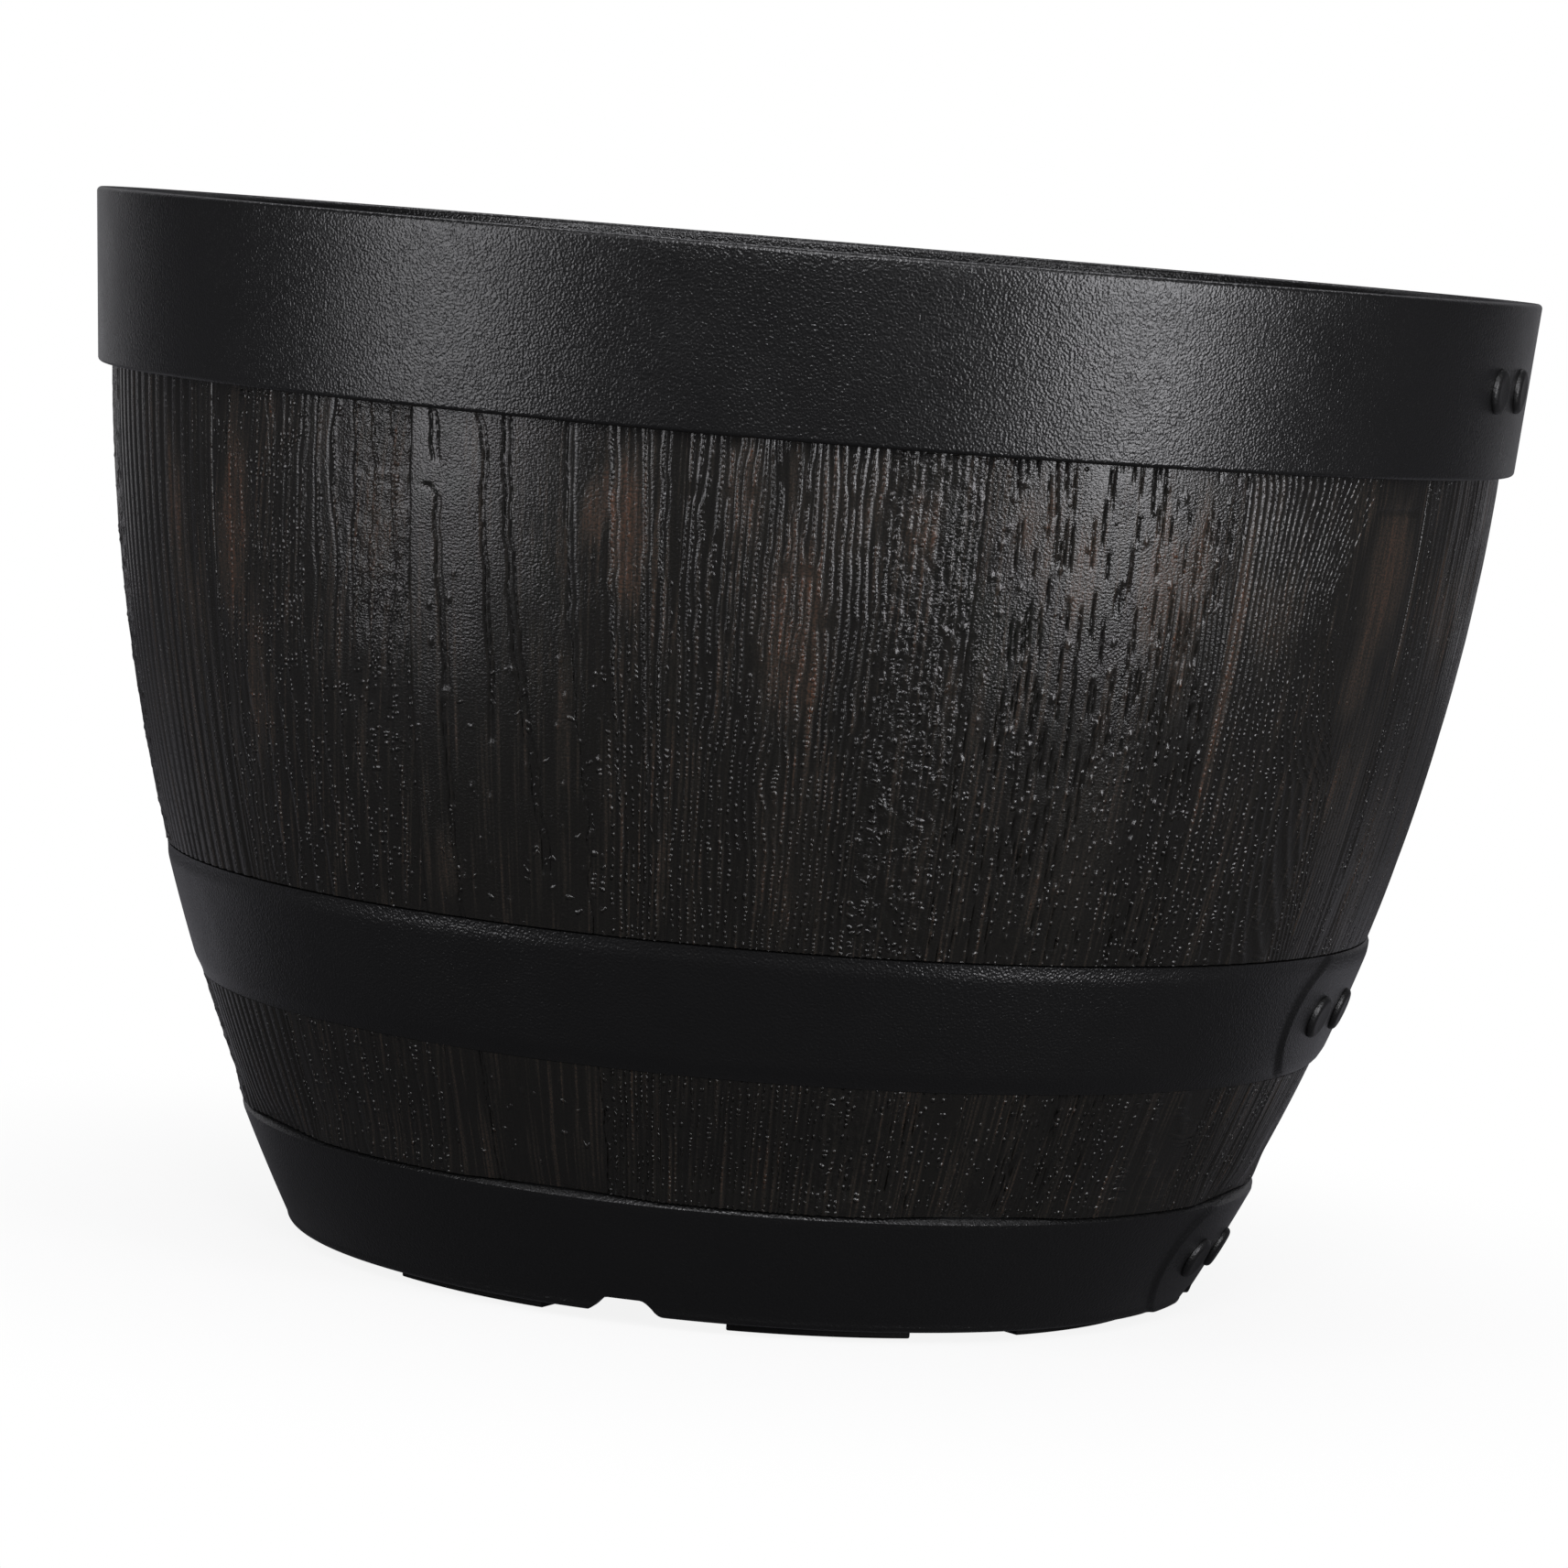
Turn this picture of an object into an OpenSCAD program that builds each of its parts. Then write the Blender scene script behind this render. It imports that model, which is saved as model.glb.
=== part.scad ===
// Plastic barrel planter: a half-barrel pot with sixteen moulded staves, a rim band,
// two strap hoops with rounded, riveted ends, rubber feet and push-in drain plugs.
// Millimetres, +Z up. The origin is on the ground, under the middle of the pot.
// Azimuths are in degrees from the front (-Y), positive towards +X.

/* [Overall] */
// Height from the ground to the top of the rim
overall_h = 278; // [240:1:320]

/* [Barrel wall] */
// Diameter of the staves at the belly, where the wall is widest
belly_d = 378.6; // [340:0.2:420]
// Depth of the belly below the top of the rim
belly_drop = 5.9; // [4:0.1:20]
// Radius of the barrel's curve, seen from the side
stave_curve_r = 566; // [500:1:700]
// Wall thickness over a stave
wall_t = 3.4; // [3.2:0.1:5]
// Number of staves
stave_count = 16; // [8:1:24]
// Azimuth of one joint between two staves
stave_joint_az = 14; // [0:0.5:22]
// Width of the joint between two staves
stave_joint_w = 1.2; // [0.6:0.1:2]
// Depth of the joint between two staves
stave_joint_depth = 0.9; // [0.4:0.1:1.2]

/* [Rim band] */
// How far the band's top stands out from the belly of the wall
rim_band_proud = 6; // [4.6:0.1:10]
// Height of the rim band
rim_band_h = 46.4; // [30:0.1:60]
// Thickness of the rim band's skirt
rim_band_t = 2.8; // [2:0.1:3.2]
// How far the skirt draws in from its top to its lower edge
rim_band_draft = 3.6; // [0:0.1:4]
// Thickness of the lip over the top of the wall
rim_lip_t = 3; // [2:0.1:5]
// How far the lip reaches inside the wall
rim_lip_inside = 1.2; // [0:0.1:4]
// Depth of the shoulder that centres the band on the wall
rim_shoulder_h = 7; // [4:0.5:12]
// Radius of the band's edges
rim_edge_r = 1.2; // [0.6:0.1:1.4]

/* [Hoops] */
// Height of the middle hoop's upper edge
middle_hoop_top = 104.6; // [90:0.2:130]
// Height of the middle hoop, upright
middle_hoop_h = 34.6; // [25:0.2:38]
// Thickness of the middle hoop
middle_hoop_t = 2; // [1.6:0.1:2.4]
// How far the middle hoop stands out from the staves
middle_hoop_proud = 0.8; // [0.6:0.1:1.6]
// Height of the base hoop's upper edge
base_hoop_top = 35.6; // [32:0.2:45]
// Thickness of the base hoop
base_hoop_t = 2.6; // [2.2:0.1:3]
// How far the base hoop stands out from the staves
base_hoop_proud = 1.6; // [1.2:0.1:2]
// Thickness of the strap end that laps over each hoop
lap_t = 0.8; // [0.5:0.1:1.5]
// Length of the lap past the first rivet, along the hoop
lap_length = 58; // [52:1:70]
// Length of the slope where the lap comes down to the hoop
lap_slope = 12; // [8:1:14]
// How much larger the radius of a strap's rounded end is than half the strap's width
strap_end_margin = 1.3; // [0.6:0.1:3]
// Bevel along the hoops' edges
hoop_bevel = 0.5; // [0.2:0.1:0.6]

/* [Rivets] */
// Azimuth of the first rivet in each band
rivet_az = 67.6; // [60:0.2:75]
// Distance between the two rivets of a pair, along the band
rivet_spacing = 22.6; // [18:0.2:30]
// Diameter of a rivet's head at its foot
rivet_head_d = 12; // [8:0.1:14]
// Diameter of the flat face of the head
rivet_face_d = 9.8; // [7:0.1:9.8]
// Height of the head
rivet_head_h = 1.5; // [0.8:0.1:3]
// Diameter of the dish in the head
rivet_dish_d = 6; // [3:0.1:6.6]
// Depth of the dish in the head
rivet_dish_depth = 0.4; // [0.2:0.1:0.6]
// Diameter of a rivet's shank
rivet_shank_d = 4; // [2:0.1:5]
// Height of the rim band's rivets below the top of the rim
rim_rivet_drop = 23; // [18:0.5:26]

/* [Floor and foot] */
// Height of the floor's underside above the ground
floor_z = 11; // [10:0.5:16]
// Floor thickness
floor_t = 3.2; // [2.6:0.1:5]
// Rounding between the floor and the wall, inside
floor_round_r = 7; // [3:0.5:10]
// Height of the foot's edge above the ground
foot_edge_z = 3; // [2:0.1:5]
// Number of drainage notches in the foot
notch_count = 4; // [3:1:4]
// Azimuth of the front notch
notch_az = -12.9; // [-20:0.1:0]
// Width of a notch at the foot's edge
notch_w = 21; // [14:0.5:24]
// Width of a notch at its top
notch_top_w = 8.5; // [4:0.5:12]
// Height of a notch
notch_h = 4.3; // [3:0.1:5]

/* [Foot pads] */
// Gap between a pad's outer edge and the inside of the wall, at the foot
pad_inset = 2.4; // [1:0.1:8]
// Width of a pad, from its inner to its outer edge
pad_w = 12; // [9:0.5:16]
// Angle that one pad spans
pad_angle = 24.4; // [16:0.2:26]
// Angle between a notch and the middle of each pad beside it
pad_offset_angle = 24.5; // [22:0.1:26]
// Thickness of the rubber round the foot lug
pad_wall_t = 1.2; // [0.8:0.1:2]
// How far a pad reaches up round its foot lug
pad_grip_h = 1.4; // [0.8:0.1:2]

/* [Drainage] */
// Number of drain holes
drain_count = 4; // [2:1:4]
// Radius of the circle that the drain holes lie on
drain_circle_r = 68; // [40:1:80]
// Diameter of a drain hole
drain_hole_d = 13; // [8:0.5:16]
// Height of the collar round a drain hole, under the floor
drain_collar_h = 2.5; // [1:0.1:3]
// Wall of the collar round a drain hole
drain_collar_t = 2.6; // [2:0.1:4]
// Diameter of a plug's flange
plug_flange_d = 21; // [18:0.5:24]
// Thickness of a plug's flange
plug_flange_t = 2; // [1.5:0.1:3]
// Depth of the seat that the flange lies in
plug_seat_depth = 1.2; // [0.6:0.1:1.6]
// How far a plug's stem reaches below its collar
plug_tip_h = 1; // [0.5:0.1:1.2]
// Height of the knob that a plug is pulled out by
plug_knob_h = 5.5; // [4:0.5:8]
// Diameter of the plug's knob
plug_knob_d = 9; // [6:0.5:10]
// Diameter of the neck under the knob
plug_neck_d = 5.6; // [3:0.2:5.8]

/* [Clearances] */
// Between a hoop and its seat in the wall
hoop_clear = 0.1; // [0.05:0.05:0.3]
// Between the rim band's shoulder and the wall
rim_clear = 0.15; // [0.1:0.05:0.3]
// Between a rivet's shank and its hole
rivet_clear = 0.15; // [0.05:0.05:0.3]
// Between a foot pad and its lug
pad_clear = 0.1; // [0.05:0.05:0.2]
// Between a plug's stem and its hole
plug_clear = 0.1; // [0.05:0.01:0.15]
// Between a plug's flange and the floor of its seat
plug_lift = 0.1; // [0.05:0.05:0.2]
// Between a plug's flange and the side of its seat
plug_seat_clear = 0.4; // [0.3:0.1:0.6]

/* [Hidden] */
curve_step = 12;
ring_fn = 160;
round_fn = 48;
overlap = 1;
beyond = 12;
belly_r = belly_d / 2;
rim_r = belly_r + rim_band_proud;
belly_z = overall_h - belly_drop;
curve_centre_r = belly_r - stave_curve_r;
wall_top = overall_h - rim_lip_t;
middle_hoop_foot = middle_hoop_top - middle_hoop_h;
stave_angle = 360 / stave_count;
rim_foot_z = overall_h - rim_band_h;
rim_slope = atan(rim_band_draft / rim_band_h);
rim_rivet_z = overall_h - rim_rivet_drop;
middle_rivet_z = middle_hoop_top - middle_hoop_h / 2;
base_rivet_z = (base_hoop_top + foot_edge_z) / 2;
lug_floor_overlap = 0.5;
lap_inset = 0.1;
lap_end_t = 0.15;
plug_edge_r = 0.6;
plug_tip_taper = 1.2;
plug_knob_edge_r = 1.2;
plug_neck_fillet = 0.8;

// Turns what is drawn along +X to an azimuth.
module at(az) rotate([0, 0, az - 90]) children();

// Radius of the wall's outer face at a height, or of a face that lies "out" outside it.
function wall_r(z, out = 0) =
    curve_centre_r + sqrt(pow(stave_curve_r + out, 2) - pow(z - belly_z, 2));

// Angle above the horizon that the wall's outer face looks along at a height.
function wall_tilt(z) = asin((z - belly_z) / stave_curve_r);

// Points of an arc, for the rounded corners of a profile.
function arc(r, z, radius, from, to, steps = 6) =
    [for (i = [0:steps]) let (a = from + (to - from) * i / steps)
        [r + radius * cos(a), z + radius * sin(a)]];

// Points up or down a face that follows the barrel's curve, in steps short enough to lie
// within 0.04 mm of it.
function curve_points(out, from, to) =
    let (steps = ceil(abs(to - from) / curve_step))
        [for (i = [0:steps]) let (z = from + (to - from) * i / steps) [wall_r(z, out), z]];

// Section between two faces that follow the barrel's curve, cut level at both ends.
module curved_section(low, high, inside, outside)
    polygon(concat(curve_points(outside, low, high), curve_points(inside, high, low)));

// Outer radius of the foot pads, inside the wall.
function pad_outer_r() = wall_r(foot_edge_z, -wall_t) - pad_inset;

// A ring, or a part of one that starts at an azimuth, with the section drawn as its child.
module ring() rotate_extrude($fn = ring_fn) children();
module ring_part(az, angle)
    at(az) rotate_extrude(angle = angle, $fn = ring_fn) children();

// Places what is drawn along +Z on the barrel's curve, looking straight out of it.
module on_curve(az, z, out)
    at(az)
        translate([curve_centre_r, 0, belly_z])
            rotate([0, 90 - wall_tilt(z), 0])
                translate([0, 0, stave_curve_r + out])
                    children();

// Places what is drawn along +Z on the outside of the rim band's skirt.
module on_rim(az)
    at(az)
        translate([rim_outer_r(rim_rivet_z), 0, rim_rivet_z])
            rotate([0, 90 + rim_slope, 0])
                children();

function rim_outer_r(z) =
    rim_r - rim_band_draft * (overall_h - z) / rim_band_h;

// Azimuth of a rivet, 0 or 1, in a band of the given radius.
function rivet_at(i, r) = rivet_az + i * rivet_spacing / r * 180 / PI;

// Staves

// The raised faces of the staves, from one hoop to the next.
module stave_faces(low, high) {
    gap = stave_joint_w / wall_r((low + high) / 2) * 180 / PI;
    for (i = [0:stave_count - 1])
        ring_part(stave_joint_az + i * stave_angle + gap / 2, stave_angle - gap)
            curved_section(low, high, -stave_joint_depth - overlap, 0);
}

module hoop_seat(low, high, thickness, proud)
    ring()
        curved_section(low, high, proud - thickness - hoop_clear, beyond);

// The pot: staves, floor, foot and drain collars in one moulding.
module barrel_shell() color("#2a211c") {
    difference() {
        union() {
            ring()
                curved_section(foot_edge_z, wall_top, -wall_t, -stave_joint_depth);
            stave_faces(base_hoop_top, middle_hoop_foot);
            stave_faces(middle_hoop_top, wall_top);
            pot_floor();
            foot_lugs();
            drain_collars();
        }
        hoop_seat(middle_hoop_foot - hoop_clear, middle_hoop_top + hoop_clear,
            middle_hoop_t, middle_hoop_proud);
        hoop_seat(foot_edge_z - 1, base_hoop_top + hoop_clear,
            base_hoop_t, base_hoop_proud);
        drain_holes();
        notches();
    }
}

module pot_floor() {
    top = floor_z + floor_t;
    side = wall_r(floor_z, -wall_t) + overlap;
    corner_r = wall_r(top + floor_round_r, -wall_t) + overlap;
    ring()
        polygon(concat(
            [[0, floor_z], [side, floor_z], [corner_r, top + floor_round_r]],
            arc(corner_r - overlap - floor_round_r, top + floor_round_r, floor_round_r, 0, -90),
            [[0, top]]
        ));
}

// Lugs under the floor that the rubber pads are pushed onto.
module foot_lugs() {
    inset = pad_wall_t / pad_outer_r() * 180 / PI;
    for (az = pad_azimuths())
        ring_part(az - pad_angle / 2 + inset, pad_angle - 2 * inset)
            translate([pad_outer_r() - pad_w + pad_wall_t, foot_edge_z])
                square([pad_w - 2 * pad_wall_t, floor_z - foot_edge_z + lug_floor_overlap]);
}

function notch_azimuths() = [for (i = [0:notch_count - 1]) notch_az + i * 360 / notch_count];
function pad_azimuths() =
    [for (az = notch_azimuths(), side = [-1, 1]) az + side * pad_offset_angle];
function drain_azimuths() = [for (i = [0:drain_count - 1]) notch_az + i * 360 / drain_count];

// A flat-topped notch whose sides run out smoothly into the foot's edge.
module notch_outline() {
    steps = 6;
    side = [for (i = [0:steps]) [
        notch_top_w / 2 + (notch_w - notch_top_w) / 2 * i / steps,
        notch_h * (1 + cos(180 * i / steps)) / 2
    ]];
    polygon(concat(
        side,
        [[notch_w / 2, -beyond], [-notch_w / 2, -beyond]],
        [for (i = [steps:-1:0]) [-side[i][0], side[i][1]]]
    ));
}

module notches()
    for (az = notch_azimuths())
        at(az)
            translate([pad_outer_r() - pad_w, 0, foot_edge_z])
                rotate([90, 0, 90])
                    linear_extrude(height = pad_w + 2 * beyond)
                        notch_outline();

module drain_collars()
    for (az = drain_azimuths())
        at(az)
            translate([drain_circle_r, 0, floor_z - drain_collar_h])
                cylinder(
                    d = drain_hole_d + 2 * drain_collar_t,
                    h = drain_collar_h + floor_t / 2,
                    $fn = round_fn
                );

module drain_holes()
    for (az = drain_azimuths())
        at(az)
            translate([drain_circle_r, 0, 0]) {
                translate([0, 0, floor_z - drain_collar_h - 1])
                    cylinder(d = drain_hole_d, h = drain_collar_h + floor_t + 2, $fn = round_fn);
                translate([0, 0, floor_z + floor_t - plug_seat_depth])
                    cylinder(
                        d = plug_flange_d + 2 * plug_seat_clear,
                        h = plug_seat_depth + 1,
                        $fn = round_fn
                    );
            }

// Bands

// The rim band: a lip over the top of the wall, a shoulder that centres it, and a drafted skirt.
module rim_band() color("#1d1d1f") {
    lip_r = wall_r(wall_top, -wall_t) - rim_lip_inside;
    shoulder_r = belly_r + rim_clear;
    shoulder_z = wall_top - rim_shoulder_h;
    foot_arc_z = rim_foot_z + rim_edge_r;
    foot_arc_r = rim_outer_r(foot_arc_z) - rim_edge_r;
    top_arc_z = overall_h - rim_edge_r;
    top_arc_r = rim_outer_r(top_arc_z) - rim_edge_r;
    difference() {
        ring()
            polygon(concat(
                arc(foot_arc_r, foot_arc_z, rim_edge_r, -90, 0),
                arc(top_arc_r, top_arc_z, rim_edge_r, 0, 90),
                arc(lip_r + rim_edge_r, top_arc_z, rim_edge_r, 90, 180),
                [
                    [lip_r, wall_top],
                    [shoulder_r, wall_top],
                    [shoulder_r, shoulder_z],
                    [rim_outer_r(shoulder_z) - rim_band_t, shoulder_z],
                    [rim_outer_r(rim_foot_z) - rim_band_t, rim_foot_z]
                ]
            ));
        for (i = [0, 1])
            on_rim(rivet_at(i, rim_r))
                rivet_hole(rim_band_t);
    }
}

// A hoop that lies in its seat, with its outer end lapped over the hoop and rounded
// about the first rivet.
module hoop(low, high, thickness, proud, rivet_z, bevel_foot) {
    difference() {
        union() {
            ring()
                beveled_section(low, high, proud - thickness, proud, bevel_foot);
            lap(low + bevel_foot + lap_inset, high - hoop_bevel - lap_inset, proud, rivet_z);
        }
        for (i = [0, 1])
            on_curve(rivet_at(i, wall_r(rivet_z)), rivet_z, proud + lap_t)
                rivet_hole(thickness + lap_t);
    }
}

// The strap's outer end, from its round tip to where it slopes down to the hoop again.
module lap(low, high, proud, rivet_z) {
    r = wall_r(rivet_z);
    lap_angle = lap_length / r * 180 / PI;
    end_r = (high - low) / 2 / cos(wall_tilt(rivet_z)) + strap_end_margin;
    end_angle = 1.5 * end_r / r * 180 / PI;
    // The slope starts from a tangent, so it also makes up for the hoop curving away.
    slope = atan((lap_t - lap_slope * lap_slope / (2 * r)) / lap_slope);
    difference() {
        intersection() {
            ring_part(rivet_az - end_angle, lap_angle + end_angle)
                beveled_section(low, high, proud - overlap, proud + lap_t, hoop_bevel);
            union() {
                on_curve(rivet_az, rivet_z, 0)
                    cylinder(
                        r = end_r,
                        h = 4 * beyond,
                        center = true,
                        $fn = 2 * round_fn
                    );
                ring_part(rivet_az, lap_angle + overlap)
                    translate([r - beyond, 0])
                        square([2 * beyond, overall_h]);
            }
        }
        on_curve(rivet_az + lap_angle, rivet_z, proud + lap_end_t)
            rotate([-slope, 0, 0])
                translate([0, 0, beyond / 2])
                    cube([4 * beyond, 4 * beyond, beyond], center = true);
    }
}

// A hoop's section, with its two outer edges beveled.
module beveled_section(low, high, inside, outside, bevel_foot) {
    difference() {
        curved_section(low, high, inside, outside);
        translate([wall_r(high, outside), high])
            rotate(45)
                square(hoop_bevel * sqrt(2), center = true);
        translate([wall_r(low, outside), low])
            rotate(45)
                square(bevel_foot * sqrt(2), center = true);
    }
}

module middle_hoop() color("#1d1d1f")
    hoop(middle_hoop_foot, middle_hoop_top, middle_hoop_t, middle_hoop_proud,
        middle_rivet_z, hoop_bevel);

module base_hoop() color("#1d1d1f")
    difference() {
        hoop(foot_edge_z, base_hoop_top, base_hoop_t, base_hoop_proud,
            base_rivet_z, 2 * hoop_bevel);
        notches();
    }

// Rivets

module rivet_hole(depth)
    translate([0, 0, -depth - beyond])
        cylinder(d = rivet_shank_d + 2 * rivet_clear, h = depth + 2 * beyond, $fn = round_fn);

// A low button head with a shallow dish in its face, on a plain shank.
module rivet(depth) {
    difference() {
        union() {
            cylinder(d1 = rivet_head_d, d2 = rivet_face_d, h = rivet_head_h, $fn = round_fn);
            translate([0, 0, -depth])
                cylinder(d = rivet_shank_d, h = depth + overlap, $fn = round_fn);
        }
        translate([0, 0, rivet_head_h - rivet_dish_depth])
            cylinder(
                d1 = rivet_dish_d - rivet_dish_depth,
                d2 = rivet_dish_d + rivet_dish_depth,
                h = 2 * rivet_dish_depth,
                $fn = round_fn
            );
    }
}

module rim_rivet(i) color("#1d1d1f")
    on_rim(rivet_at(i, rim_r)) rivet(rim_band_t);

module middle_hoop_rivet(i) color("#1d1d1f")
    on_curve(rivet_at(i, wall_r(middle_rivet_z)), middle_rivet_z, middle_hoop_proud + lap_t)
        rivet(middle_hoop_t + lap_t);

module base_hoop_rivet(i) color("#1d1d1f")
    on_curve(rivet_at(i, wall_r(base_rivet_z)), base_rivet_z, base_hoop_proud + lap_t)
        rivet(base_hoop_t + lap_t);

// Foot pads

// A rubber shoe pushed over one foot lug.
module foot_pad(i) color("#161616") {
    az = pad_azimuths()[i];
    inset = (pad_wall_t - pad_clear) / pad_outer_r() * 180 / PI;
    difference() {
        ring_part(az - pad_angle / 2, pad_angle)
            translate([pad_outer_r() - pad_w, 0])
                square([pad_w, foot_edge_z + pad_grip_h]);
        ring_part(az - pad_angle / 2 + inset, pad_angle - 2 * inset)
            translate([pad_outer_r() - pad_w + pad_wall_t - pad_clear, foot_edge_z])
                square([pad_w - 2 * (pad_wall_t - pad_clear), pad_grip_h + 1]);
    }
}

// Drain plugs

// A rubber plug: a stem that fills the hole, a flange in its seat, and a knob to pull.
module drain_plug(i) color("#121212") {
    seat_z = floor_z + floor_t - plug_seat_depth + plug_lift;
    tip_z = floor_z - drain_collar_h - plug_tip_h;
    flange_top = seat_z + plug_flange_t;
    knob_top = flange_top + plug_knob_h;
    stem_r = drain_hole_d / 2 - plug_clear;
    flange_r = plug_flange_d / 2;
    knob_r = plug_knob_d / 2;
    neck_r = plug_neck_d / 2;
    at(drain_azimuths()[i])
        translate([drain_circle_r, 0, 0])
            rotate_extrude($fn = round_fn)
                polygon(concat(
                    [
                        [0, tip_z],
                        [stem_r - plug_tip_taper, tip_z],
                        [stem_r, tip_z + 1.5 * plug_tip_taper],
                        [stem_r, seat_z],
                        [flange_r, seat_z]
                    ],
                    arc(flange_r - plug_edge_r, flange_top - plug_edge_r, plug_edge_r, 0, 90),
                    [
                        [neck_r + plug_neck_fillet, flange_top],
                        [neck_r, flange_top + plug_neck_fillet],
                        [neck_r, knob_top - 2 * plug_knob_edge_r]
                    ],
                    arc(knob_r - plug_knob_edge_r, knob_top - plug_knob_edge_r,
                        plug_knob_edge_r, -90, 90),
                    [[0, knob_top]]
                ));
}

barrel_shell();
rim_band();
middle_hoop();
base_hoop();
rim_rivet(0);  // rim_rivet_1
rim_rivet(1);  // rim_rivet_2
middle_hoop_rivet(0);  // middle_hoop_rivet_1
middle_hoop_rivet(1);  // middle_hoop_rivet_2
base_hoop_rivet(0);  // base_hoop_rivet_1
base_hoop_rivet(1);  // base_hoop_rivet_2
foot_pad(0);  // foot_pad_1
foot_pad(1);  // foot_pad_2
foot_pad(2);  // foot_pad_3
foot_pad(3);  // foot_pad_4
foot_pad(4);  // foot_pad_5
foot_pad(5);  // foot_pad_6
foot_pad(6);  // foot_pad_7
foot_pad(7);  // foot_pad_8
drain_plug(0);  // drain_plug_1
drain_plug(1);  // drain_plug_2
drain_plug(2);  // drain_plug_3
drain_plug(3);  // drain_plug_4
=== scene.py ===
# %% [markdown]
# # A plastic barrel planter
# The real object is a half-barrel flower pot of black polypropylene. Its wall is moulded to look like
# sixteen wire-brushed oak staves, dry-brushed with brown, held by a deep rim band and two strap hoops.
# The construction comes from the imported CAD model. This file gives each piece its finished surface.
# %% Load the frame
import math

import bpy
import numpy as np
from mathutils import Matrix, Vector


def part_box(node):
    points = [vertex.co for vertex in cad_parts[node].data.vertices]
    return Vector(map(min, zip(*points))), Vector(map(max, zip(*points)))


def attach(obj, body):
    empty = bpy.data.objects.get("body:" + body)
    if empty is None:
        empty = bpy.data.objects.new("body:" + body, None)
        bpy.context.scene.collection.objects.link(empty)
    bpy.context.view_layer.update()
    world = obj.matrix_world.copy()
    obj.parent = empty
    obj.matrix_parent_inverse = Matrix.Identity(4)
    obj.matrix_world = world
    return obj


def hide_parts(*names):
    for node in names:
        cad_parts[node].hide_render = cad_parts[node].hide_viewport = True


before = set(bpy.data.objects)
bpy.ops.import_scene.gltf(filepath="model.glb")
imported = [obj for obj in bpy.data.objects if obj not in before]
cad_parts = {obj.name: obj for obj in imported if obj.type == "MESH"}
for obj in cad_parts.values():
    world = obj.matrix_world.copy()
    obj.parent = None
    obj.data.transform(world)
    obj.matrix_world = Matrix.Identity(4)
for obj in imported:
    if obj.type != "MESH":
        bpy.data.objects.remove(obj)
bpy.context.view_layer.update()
scene = bpy.context.scene
MM = 0.001

# %% [markdown]
# ## The camera
# The photograph was taken with a long lens from a little above the rim, and the camera was rolled, so the
# pot leans in the picture. Lens, distance, pitch and roll come from fitting the ellipses of the rim, the
# hoops and the foot. The frame is 1713 pixels square.
# %% Set the camera
LENS_MM = 143.27
SENSOR_MM = 36.0
EYE = (0.0022, -1.6965, 0.28983)
LOOK_DOWN = 5.351
ROLL = 4.7
POT_MIDDLE = (0, 0, 0.139)

camera_data = bpy.data.cameras.new("camera")
camera_data.lens = LENS_MM
camera_data.sensor_width = SENSOR_MM
camera = bpy.data.objects.new("camera", camera_data)
scene.collection.objects.link(camera)
camera.matrix_world = (
    Matrix.Translation(EYE)
    @ Matrix.Rotation(math.radians(90 - LOOK_DOWN), 4, "X")
    @ Matrix.Rotation(math.radians(ROLL), 4, "Z")
)
scene.camera = camera
scene.view_settings.view_transform = "Standard"
print("camera", LENS_MM, "mm,", round(math.dist(EYE, POT_MIDDLE), 3), "m from the pot")

# %% [markdown]
# ## Node materials in code
# Every finish is a small tree of shader nodes. One function adds a node with its settings and links, and
# another turns a hex colour, which is how a paint chart or an image editor gives it, into the linear
# numbers that the shader works with. The rest are the small sums that every tree needs.
# %% Helpers for materials


def linear(hex_colour, alpha=1.0):
    """A hex sRGB colour as linear red, green, blue and alpha."""
    parts = [int(hex_colour[i : i + 2], 16) / 255 for i in (1, 3, 5)]
    return [p / 12.92 if p <= 0.04045 else ((p + 0.055) / 1.055) ** 2.4 for p in parts] + [alpha]


def add(tree, kind, inputs=None, **settings):
    """Adds a node. inputs gives each socket, by name or number, a value or another node's output."""
    node = tree.nodes.new(kind)
    for name, value in settings.items():
        setattr(node, name, value)
    for key, value in (inputs or {}).items():
        if isinstance(value, bpy.types.NodeSocket):
            tree.links.new(value, node.inputs[key])
        else:
            node.inputs[key].default_value = value
    return node


def new_material(name):
    """An empty node material: its tree and its output node."""
    material = bpy.data.materials.new(name)
    material.use_nodes = True
    material.node_tree.nodes.clear()
    output = material.node_tree.nodes.new("ShaderNodeOutputMaterial")
    return material, material.node_tree, output


def remap(tree, value, low, high, to_low, to_high, **settings):
    """A value from one range to another, held at both ends."""
    inputs = {"Value": value, "From Min": low, "From Max": high, "To Min": to_low, "To Max": to_high}
    return add(tree, "ShaderNodeMapRange", inputs, **settings).outputs[0]


def maths(tree, operation, first, second):
    """One sum on two sockets or numbers."""
    return add(tree, "ShaderNodeMath", {0: first, 1: second}, operation=operation).outputs[0]


def length(tree, vector):
    """How long a vector is."""
    return add(tree, "ShaderNodeVectorMath", {0: vector}, operation="LENGTH").outputs["Value"]


def mix_numbers(tree, share, first, second):
    """From one number to another, by a share from 0 to 1."""
    return add(tree, "ShaderNodeMix", {0: share, 2: first, 3: second}, data_type="FLOAT").outputs[0]


def mix_colours(tree, share, first, second):
    """From one colour to another, by a share from 0 to 1."""
    return add(tree, "ShaderNodeMix", {0: share, 6: first, 7: second}, data_type="RGBA").outputs[2]


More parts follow.
